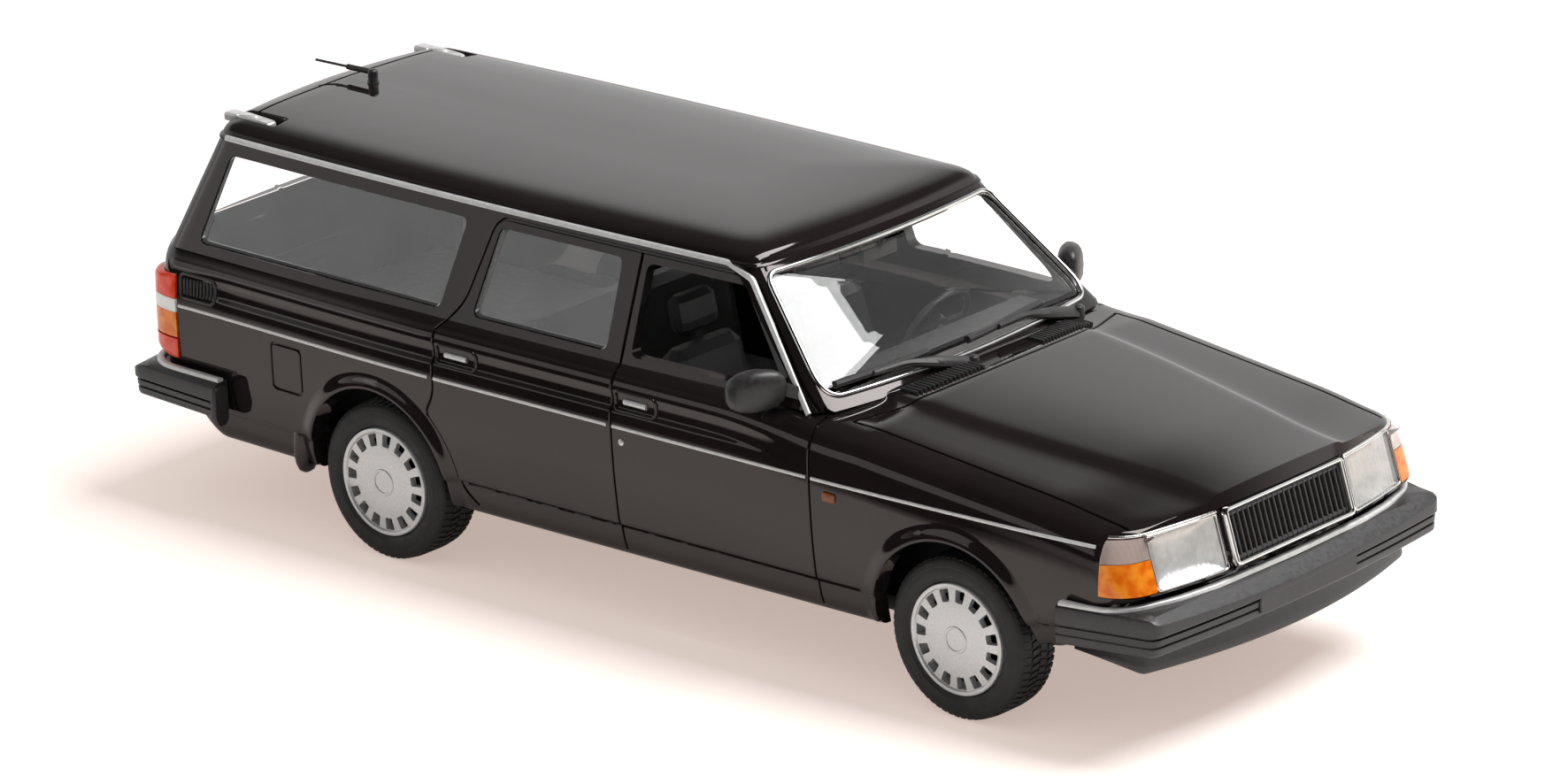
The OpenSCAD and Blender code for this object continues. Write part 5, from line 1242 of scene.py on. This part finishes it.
class WAGON_OT_wheels(bpy.types.Operator):
    """Wheels: slotted silver covers and vinyl tyres with block tread"""
    bl_idname = "wagon.wheels"
    bl_label = "Wheels"

    def execute(self, context):
        size = context.scene.wagon_sizes
        f = FINISHES
        r = COVER_RADIUS
        face = [(0.02, 0.1), (0.88, 0.1), (0.92, 0.17), (1.02, 0.19), (1.12, 0.16), (1.16, 0.1), (2.2, 0.08),
                (2.9, 0.03), (4.2, -0.1), (4.26, -0.03), (4.33, 0.05), (r - 0.14, 0.09), (r - 0.04, 0.05), (r, -0.05),
                (r, -0.5), (r - 0.35, -0.7), (r - 0.35, -3.8), (r - 0.9, -3.8), (r - 0.9, -0.62), (0.02, -0.5)]
        cover = raw_object("cover", lathe(face, 96, (0, 0, 0), 1))
        for i in range(size.cover_slots):
            a = 2 * math.pi * (i + 0.5) / size.cover_slots
            slot = rounded([(3.12, -0.36), (4.16, -0.49), (4.16, 0.49), (3.12, 0.36)], 0.14, 4)
            turned = np.stack([slot[:, 0] * math.cos(a) - slot[:, 1] * math.sin(a),
                               slot[:, 0] * math.sin(a) + slot[:, 1] * math.cos(a)], 1)
            carve(cover, prism(turned, "y", -2, 2))
        points = np.array([v.co[:] for v in cover.data.vertices]) / MM
        faces = [tuple(p.vertices) for p in cover.data.polygons]
        data = cover.data
        bpy.data.objects.remove(cover)
        bpy.data.meshes.remove(data)
        back = [(0.82, -3.6), (1.8, -3.6), (1.8, -1.3), (r - 0.95, -1.2), (r - 0.95, -0.95), (0.82, -1.0)]
        R, w, deep = TYRE_RADIUS, TYRE_WIDTH, size.tread_depth / MM
        wall = [(r - 0.29, -w + 0.5), (r + 0.3, -w + 0.1), (r + 1.1, -w + 0.02), (R - 0.5, -w + 0.05),
                (R - deep, -w + 0.5), (R - deep, -0.45), (R - 0.17, -0.3), (R - 0.32, -0.12), (R - 0.55, -0.02),
                (R - 0.8, 0.05), (R - 0.86, 0.03), (r + 1.0, 0.1), (r + 0.8, 0.1), (r + 0.45, 0.06), (r + 0.38, 0.0),
                (r + 0.25, -0.02), (r + 0.1, -0.12), (r + 0.06, -0.3), (r + 0.06, -0.6), (r - 0.29, -0.9)]
        n = size.tread_blocks
        for name, place, side, body in wheel_places():
            v = points * (1, side, 1) + place
            faced = faces if side > 0 else [q[::-1] for q in faces]
            add_piece(f"cover_{name}", (v, faced), f["cover"], body, (f"rim_{name}",), 30)
            add_piece(f"cover_back_{name}", lathe(back, 64, place, side), f["slot"], body, (), 30)
            parts = [lathe(wall, 96, place, side)]
            rows = ((-0.3, -1.15, 0.0), (-1.3, -2.1, 0.5), (-2.25, -3.05, 0.0), (-3.2, -4.1, 0.5))
            for k, (y0, y1, shift) in enumerate(rows):
                outer = k in (0, 3)
                for i in range(n):
                    a0, a1 = (i + shift + 0.1) / n, (i + shift + 0.74) / n
                    skew = 0.22 / n * (1 if k % 2 else -1)
                    ring = [(a * 2 * math.pi, y)
                            for a, y in ((a0, y0), (a1, y0), (a1 + skew, y1), (a0 + skew, y1))]
                    shell = []
                    for radius, inn in ((R - deep - 0.1, 0.0), (R - 0.04, 0.0), (R, 0.06)):
                        row = []
                        for a, y in ring:
                            mid_a, mid_y = sum(q[0] for q in ring) / 4, (y0 + y1) / 2
                            aa, yy = mix(a, mid_a, inn), mix(y, mid_y, inn)
                            edge = outer and abs(yy - (y0 if k == 0 else y1)) < 0.3
                            rr = radius - (0.1 if edge else 0.0)
                            row.append((place[0] + rr * math.cos(aa), place[1] + side * yy,
                                        place[2] + rr * math.sin(aa)))
                        shell.append(row)
                    parts.append(loft(np.array(shell)))
            add_piece(f"tyre_tread_{name}", joined(parts), f["tyre"], body, (f"tyre_{name}",), 32)
        for name in ("front_axle", "rear_axle"):
            dress(name, "pin")
        return {"FINISHED"}


def dress(name, finish, bevel_mm=0.0):
    """Gives a carried-over solid its finish, with its edges eased."""
    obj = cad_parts[name]
    obj.data.materials.clear()
    obj.data.materials.append(FINISHES[finish])
    if bevel_mm:
        edge = obj.modifiers.new("eased", "BEVEL")
        edge.width, edge.segments, edge.limit_method, edge.angle_limit = bevel_mm * MM, 2, "ANGLE", math.radians(40)


def blob(points, radii, cols=16):
    """A smooth pod through rings: centres, and half sizes across and up."""
    a = np.linspace(0, 2 * math.pi, cols, endpoint=False)
    rings = []
    for (x, y, z), (rx, rz) in zip(points, radii):
        c, s = np.cos(a), np.sin(a)
        sq = np.abs(c) ** 0.75 * np.sign(c), np.abs(s) ** 0.75 * np.sign(s)
        rings.append(np.stack([x + rx * sq[0], np.full(cols, y), z + rz * sq[1]], 1))
    return loft(np.array(rings))


def flank_frame(corners, radius, turn, profile):
    """A raised frame round a rectangle on both flanks."""
    where, facing = on_flank(smooth_path(rounded(corners, radius, 4), turn, 0.25, True), -1)
    facing = np.tile(facing.mean(0), (len(where), 1))
    return both_sides(sweep(where, facing, profile, True))


class WAGON_OT_fittings(bpy.types.Operator):
    """Mirrors, wipers, louvres, handles, vents, aerial and tailgate hinges"""
    bl_idname = "wagon.fittings"
    bl_label = "Fittings"

    def execute(self, context):
        f = FINISHES
        mx, mz = SCREEN_FOOT - 4.2, float(wing_top(np.array(SCREEN_FOOT - 5.0))) + 1.55
        pod = blob([(mx + x, y, mz + z) for x, y, z in (
            (1.2, 17.95, 0.2), (1.15, 18.05, 0.18), (1.0, 18.3, 0.12), (0.8, 18.7, 0.08), (0.4, 19.4, 0.05),
            (0.0, 20.2, 0.0), (-0.45, 20.9, -0.08), (-0.75, 21.35, -0.12), (-0.9, 21.6, -0.15), (-0.95, 21.7, -0.15))],
                   [(0.35, 0.55), (0.7, 0.95), (1.0, 1.35), (1.15, 1.55), (1.27, 1.7), (1.27, 1.72), (1.15, 1.6),
                    (0.95, 1.35), (0.65, 0.95), (0.25, 0.45)])
        fx = SCREEN_FOOT - 2.3
        fz = float(wing_top(np.array(fx))) + 1.5
        root = float(cabin_side(fx, cabin_level(fz))) + 0.05
        foot = loft(np.array([[(x + dx, y, z + dz) for dx, dz in corners] for x, y, z, corners in (
            (fx, root, fz, ((-0.9, -0.55), (0.9, -0.55), (0.7, 0.55), (-0.9, 0.65))),
            (fx, root + 0.2, fz, ((-0.9, -0.5), (0.8, -0.5), (0.6, 0.5), (-0.9, 0.6))),
            (mx, 18.3, mz, ((0.5, -0.5), (1.6, -0.5), (1.5, 0.5), (0.5, 0.5))))]))
        for mark, turn in (("left", lambda part: part), ("right", flipped)):
            add_piece(f"door_mirror_{mark}", turn(joined([pod, foot])), f["satin"],
                      stands_for=(f"mirror_{mark}",), sharp=45)
        lift = 0.72
        parts = []
        for shift in (0.0, 14.8):
            def at(y, z, extra=0.0):
                return np.array([float(screen_x(y + shift, z)) + lift - 0.2 + extra, y + shift, z])
            ys = np.linspace(-5, -15.2, 24)
            blade = np.array([at(y, mix(BELT + 0.9, BELT + 0.7, k)) for y, k in zip(ys, np.linspace(0, 1, 24))])
            facing = np.tile((0.8, 0, 0.6), (24, 1))
            parts.append(sweep(blade, facing, [(-0.3, -0.32), (-0.32, 0.05), (-0.14, 0.26), (0.14, 0.26),
                                               (0.32, 0.05), (0.3, -0.32)]))
            pivot = at(-1.7, BELT - 0.55, 0.2)
            arm = smooth_path([pivot, mix(pivot, at(-8, BELT + 0.8, 0.5), 0.45) + (0.15, 0, 0.12),
                               at(-8, BELT + 0.8, 0.42), at(-11.5, BELT + 0.78, 0.3)], 0.8, 0.3)
            taper = np.interp(np.linspace(0, 1, len(arm)), [0, 0.35, 0.6, 1], [1.0, 0.9, 0.55, 0.35])
            rings = []
            tangent = np.gradient(arm, axis=0)
            for p, t, k in zip(arm, tangent / np.linalg.norm(tangent, axis=1, keepdims=True), taper):
                out = np.array((0.75, 0, 0.66))
                across = np.cross(out, t)
                rings.append([p + across * u * 0.52 * k + out * w * 0.27 for u, w in
                              ((-1, -1), (-1, 0.4), (-0.5, 1), (0.5, 1), (1, 0.4), (1, -1))])
            parts.append(loft(np.array(rings)))
            cap = [(0.02, 0.62), (0.3, 0.6), (0.45, 0.5), (0.5, 0.3), (0.5, -0.5), (0.02, -0.5)]
            parts.append(upright(cap, 20, pivot))
        add_piece("wiper_arms", joined(parts), f["satin"], stands_for=("screen_wipers",))
        parts = []
        for y0, y1 in ((-10.2, -2.2), (5.2, 12.8)):
            for i in range(17):
                y = mix(y0, y1, (i + 0.5) / 17)
                back = float(screen_x(y, BELT - 0.4)) + 0.9
                line = np.stack([np.linspace(back, back + 1.7, 6), np.full(6, y)], 1)
                where, facing = on_top(line)
                parts.append(sweep(where, facing, [(-0.13, -0.1), (-0.13, 0.16), (-0.05, 0.24), (0.05, 0.24),
                                                   (0.13, 0.16), (0.13, -0.1)]))
        add_piece("cowl_louvres", joined(parts), f["satin"], sharp=30)
        plates, bars = [], []
        for x, z in ((REAR_GAP + 0.4, STRIP + 1.45), (MIDDLE_GAP + 0.4, STRIP + 1.45)):
            plates.append(flank_frame(corners_of(x, z, x + 4.3, z + 1.6), 0.3, 0.1, lozenge(0.3, 0.2, -0.3)))
            where, facing = on_flank(np.stack([np.linspace(x + 0.9, x + 3.3, 9), np.full(9, z + 0.75)], 1), -1)
            bars.append(both_sides(sweep(where, facing, lozenge(0.55, 0.22, -0.3))))
        add_piece("handle_frames", joined(plates), f["paint"], sharp=60)
        cap = [(0.02, 0.16), (0.2, 0.15), (0.28, 0.08), (0.3, -0.3), (0.02, -0.3)]
        for side in (1, -1):
            where, facing = on_flank([(1.26, 16.5)], side)
            bars.append(lathe(cap, 20, where[0], side))
        add_piece("handle_bars", joined(bars), f["cover"], sharp=40)
        x0, x1 = TAIL_X + 4.15, TAIL_X + 8.1
        edge = corners_of(x0, STRIP + 0.85, x1, STRIP + 2.95)
        vents = [flank_frame(edge, 0.45, 0.2, lozenge(0.28, 0.16, -0.3))]
        for i in range(9):
            x = mix(x0 + 0.45, x1 - 0.45, i / 8)
            where, facing = on_flank(np.stack([np.full(7, x), np.linspace(STRIP + 1.2, STRIP + 2.6, 7)], 1), -1)
            vents.append(both_sides(sweep(where, facing, lozenge(0.22, 0.14, -0.2))))
        add_piece("quarter_vents", joined(vents), f["satin"], sharp=50)
        ax = TAIL_HEAD + 4.8
        foot_z = roof_z((ax - TAIL_HEAD + TAIL_BOW + 0.2) / REAR_CROWN)
        cap = [(0.02, 1.2), (0.3, 1.18), (0.42, 1.06), (0.44, 0.85), (0.42, 0.3), (0.5, 0.12), (0.52, -0.05),
               (0.02, -0.05)]
        parts = [upright(cap, 24, (ax, 0, foot_z))]
        for x0, x1, width in ((0.1, -2.9, 0.5), (-2.6, -6.6, 0.24)):
            whip = np.array([(ax + x, 0, foot_z + 0.95 + 0.015 * x) for x in np.linspace(x0, x1, 4)])
            parts.append(sweep(whip, np.tile((0, 1.0, 0), (4, 1)), tube_profile(width)))
        add_piece("roof_aerial", joined(parts), f["satin"], stands_for=("antenna",), sharp=50)
        parts = []
        for k in (1, -1):
            y = k * HINGE_Y
            for x0, x1, wide, tall, fall in ((-1.0, 0.65, 0.64, 0.66, 0.0), (0.5, 4.2, 0.56, 0.72, 0.2)):
                outline = rounded([(TAIL_HEAD + x0, y - wide), (TAIL_HEAD + x1, y - wide), (TAIL_HEAD + x1, y + wide),
                                   (TAIL_HEAD + x0, y + wide)], 0.3, 4)
                slope = fall * (outline[:, 0] - TAIL_HEAD - x0) / (x1 - x0)
                rims = [np.column_stack([mix(outline.mean(0), outline, share), HINGE_Z + up - slope * (up > 0)])
                        for up, share in ((-0.02, 1.0), (tall - 0.22, 1.0), (tall - 0.08, 0.95), (tall - 0.02, 0.86),
                                          (tall, 0.7), (tall, 0.05))]
                parts.append(loft(np.array(rims)))
        add_piece("hinge_covers", joined(parts), f["cover"], stands_for=("tailgate_hinges",), sharp=40)
        return {"FINISHED"}


class WAGON_OT_cabin(bpy.types.Operator):
    """Cabin and base: finishes for the tub, seats, dash and base plate, and walls of the wheel wells"""
    bl_idname = "wagon.cabin"
    bl_label = "Cabin and base"

    def execute(self, context):
        for name in ("interior_tub", "driver_seat", "passenger_seat", "rear_bench", "steering_wheel"):
            dress(name, "cabin", 0.15)
        dress("dashboard", "dash", 0.3)
        dress("cabin_mirror", "satin", 0.1)
        dress("base_plate", "base", 0.1)
        # Walls that stand on the base plate just inside the tyres and reach past the wheel openings
        a = np.linspace(0, math.pi / 2, 9)
        walls = []
        for axle_x in (FRONT_AXLE_X, REAR_AXLE_X):
            corner = [np.stack([axle_x + side * 8 + 4 * np.cos(a + turn), 11.8 + 4 * np.sin(a + turn)], 1)
                      for side, turn in ((1, 0.0), (-1, math.pi / 2))]
            outline = np.concatenate(corner + [np.array([(axle_x - 12, 7.69), (axle_x + 12, 7.69)])])
            walls.append(both_sides(prism(outline, "y", FACE_Y - TYRE_WIDTH - 1.8, FACE_Y - TYRE_WIDTH - 1.4)))
        add_piece("wheel_well_walls", joined(walls), FINISHES["base"], sharp=30)
        return {"FINISHED"}


class WAGON_OT_stage(bpy.types.Operator):
    """Pale floor, soft studio light and the camera"""
    bl_idname = "wagon.stage"
    bl_label = "Stage"

    def execute(self, context):
        scene = context.scene
        az, el, roll = (math.radians(angle) for angle in (CAMERA_TURN, CAMERA_RISE, CAMERA_ROLL))
        back = Vector((math.sin(az) * math.cos(el), -math.cos(az) * math.cos(el), math.sin(el)))
        right = Vector((math.cos(az), math.sin(az), 0))
        up = back.cross(right)
        c, s = math.cos(roll), math.sin(roll)
        place = Matrix((right * c + up * s, up * c - right * s, back)).transposed().to_4x4()
        place.translation = (Vector(CAMERA_AIM) + back * CAMERA_FAR) * MM
        camera = bpy.data.cameras.new("view")
        camera.sensor_width, camera.lens = SENSOR_MM, FOCAL / PICTURE_WIDE * SENSOR_MM
        camera.shift_x, camera.shift_y, camera.clip_start = OFF_RIGHT / PICTURE_WIDE, OFF_UP / PICTURE_WIDE, 0.01
        holder = bpy.data.objects.new("view", camera)
        scene.collection.objects.link(holder)
        holder.matrix_world = place
        scene.camera = holder
        scene.view_settings.view_transform = "Standard"

        # Pale board, white to the eye where nothing shades it, with a warm tone in the shade.
        # Painted dark reflection: on the near side, level with the doors and behind them, glossy rays see a dark board
        # in place of the pale one, as if the room were dark there, so the flanks mirror darkness
        finish, tree = new_finish("pale_board")
        _, tint = grain(tree, 30.0, "#e9e6e3", "#eeebe8")
        matt = node(tree, "ShaderNodeBsdfDiffuse", None, {"Color": tint})
        path = node(tree, "ShaderNodeLightPath")
        seen = node(tree, "ShaderNodeMath", {"operation": "MAXIMUM"},
                    {0: path.outputs["Is Camera Ray"], 1: path.outputs["Is Transmission Ray"]})
        both = node(tree, "ShaderNodeMath", {"operation": "MULTIPLY_ADD", 1: 0.3},
                    {0: path.outputs["Is Glossy Ray"], 2: seen.outputs[0]})
        level = node(tree, "ShaderNodeMath", {"operation": "MULTIPLY", 1: 0.5}, {0: both.outputs[0]})
        glow = node(tree, "ShaderNodeEmission", {"Color": linear("#ffe7db")}, {"Strength": level.outputs[0]})
        lit = node(tree, "ShaderNodeAddShader", None, {0: matt.outputs[0], 1: glow.outputs[0]})
        place = node(tree, "ShaderNodeTexCoord")
        axes = node(tree, "ShaderNodeSeparateXYZ", None, {"Vector": place.outputs["Object"]})
        # Mask of the painted dark reflection: far out on the near side, from the doors back
        far_off = node(tree, "ShaderNodeMapRange", {"From Min": -0.058, "From Max": -0.068},
                       {"Value": axes.outputs["Y"]})
        by_doors = node(tree, "ShaderNodeMapRange", {"From Min": 0.0, "From Max": 0.025, "To Min": 1.0, "To Max": 0.0},
                        {"Value": axes.outputs["X"]})
        dark_patch_area = node(tree, "ShaderNodeMath", {"operation": "MULTIPLY"},
                     {0: far_off.outputs["Result"], 1: by_doors.outputs["Result"]})
        gloss_dark_patch = node(tree, "ShaderNodeMath", {"operation": "MULTIPLY"},
                      {0: dark_patch_area.outputs[0], 1: path.outputs["Is Glossy Ray"]})
        # Painted dark reflection: the dark board that only glossy rays see in that patch
        dark = node(tree, "ShaderNodeBsdfDiffuse", {"Color": linear("#1c1a19")})
        total = node(tree, "ShaderNodeMixShader", None,
                     {"Fac": gloss_dark_patch.outputs[0], 1: lit.outputs[0], 2: dark.outputs[0]})
        node(tree, "ShaderNodeOutputMaterial", None, {"Surface": total.outputs[0]})
        corners = [(-2500, -2500, 0), (2500, -2500, 0), (2500, 2500, 0), (-2500, 2500, 0)]
        floor = raw_object("floor", (np.array(corners, float), [(0, 1, 2, 3)]))
        floor.data.materials.append(finish)

        # White backdrop behind the object up to 25 degrees, fading into a dark room above it and on the camera's side
        world = bpy.data.worlds.new("studio")
        scene.world = world
        world.use_nodes = True
        tree = world.node_tree
        tree.nodes.clear()
        path = node(tree, "ShaderNodeLightPath")
        place = node(tree, "ShaderNodeTexCoord")
        axes = node(tree, "ShaderNodeSeparateXYZ", None, {"Vector": place.outputs["Generated"]})
        low = node(tree, "ShaderNodeMapRange", {"interpolation_type": "SMOOTHSTEP", "From Min": 0.42, "From Max": 0.64,
                                                "To Min": 1.0, "To Max": 0.07}, {"Value": axes.outputs["Z"]})
        facing = node(tree, "ShaderNodeVectorMath", {"operation": "DOT_PRODUCT", 1: (0.657, -0.754, 0.0)},
                      {0: place.outputs["Generated"]})
        away = node(tree, "ShaderNodeMapRange", {"interpolation_type": "SMOOTHSTEP", "From Min": -0.25, "From Max": 0.1,
                                                 "To Min": 1.0, "To Max": 0.03}, {"Value": facing.outputs["Value"]})
        room = node(tree, "ShaderNodeMath", {"operation": "MULTIPLY"},
                    {0: low.outputs["Result"], 1: away.outputs["Result"]})
        glossy = node(tree, "ShaderNodeMix", {"A": 0.4},
                      {"Factor": path.outputs["Is Glossy Ray"], "B": room.outputs[0]})
        straight = node(tree, "ShaderNodeMath", {"operation": "MAXIMUM"},
                        {0: path.outputs["Is Camera Ray"], 1: path.outputs["Is Transmission Ray"]})
        level = node(tree, "ShaderNodeMix", {"B": 1.0}, {"Factor": straight.outputs[0], "A": glossy.outputs["Result"]})
        sky = node(tree, "ShaderNodeBackground", {"Color": (1, 1, 1, 1)}, {"Strength": level.outputs["Result"]})
        node(tree, "ShaderNodeOutputWorld", None, {"Surface": sky.outputs[0]})

        # A soft box overhead, a large dim card beside the object and a bright strip of card low down
        for name, spot, aim, wide, tall, energy in (
                ("overhead", (0.27, 0.25, 0.6), (0.27, 0.25, 0.0), 0.42, 0.46, 6.5),
                ("beside", (-0.5, -0.53, 0.16), (0.0, 0.0, 0.02), 0.6, 0.16, 0.25),
                ("low_strip", (-0.536, -0.483, 0.075), (0.0, 0.0, 0.02), 0.16, 0.04, 0.02)):
            lamp = bpy.data.lights.new(name, "AREA")
            lamp.shape, lamp.size, lamp.size_y, lamp.energy = "RECTANGLE", wide, tall, energy
            holder = bpy.data.objects.new(name, lamp)
            holder.location = spot
            holder.rotation_euler = (Vector(aim) - Vector(spot)).to_track_quat("-Z", "Y").to_euler()
            scene.collection.objects.link(holder)
        return {"FINISHED"}


OPERATORS = (WAGON_OT_casting, WAGON_OT_panes, WAGON_OT_trim, WAGON_OT_lamps, WAGON_OT_bumpers, WAGON_OT_grille,
             WAGON_OT_wheels, WAGON_OT_fittings, WAGON_OT_cabin, WAGON_OT_stage)


class WAGON_PT_panel(bpy.types.Panel):
    """Sizes, colours and pieces of the wagon"""
    bl_idname = "WAGON_PT_panel"
    bl_label = "Die-cast wagon"
    bl_space_type = "VIEW_3D"
    bl_region_type = "UI"
    bl_category = "Wagon"

    def draw(self, context):
        for group in (context.scene.wagon_sizes, context.scene.wagon_colours):
            box = self.layout.box()
            for key in group.__annotations__:
                box.prop(group, key)
        for piece in OPERATORS:
            self.layout.operator(piece.bl_idname)


CLASSES = (WagonSizes, WagonColours) + OPERATORS + (WAGON_PT_panel,)


def register():
    for cls in CLASSES:
        bpy.utils.register_class(cls)
    bpy.types.Scene.wagon_sizes = PointerProperty(type=WagonSizes)
    bpy.types.Scene.wagon_colours = PointerProperty(type=WagonColours)


def unregister():
    del bpy.types.Scene.wagon_colours
    del bpy.types.Scene.wagon_sizes
    for cls in reversed(CLASSES):
        bpy.utils.unregister_class(cls)


def main():
    register()
    make_finishes(bpy.context.scene.wagon_colours)
    bpy.ops.wagon.casting()
    bpy.ops.wagon.panes()
    bpy.ops.wagon.trim()
    bpy.ops.wagon.lamps()
    bpy.ops.wagon.bumpers()
    bpy.ops.wagon.grille()
    bpy.ops.wagon.wheels()
    bpy.ops.wagon.fittings()
    bpy.ops.wagon.cabin()
    bpy.ops.wagon.stage()


if __name__ == "__main__":
    main()
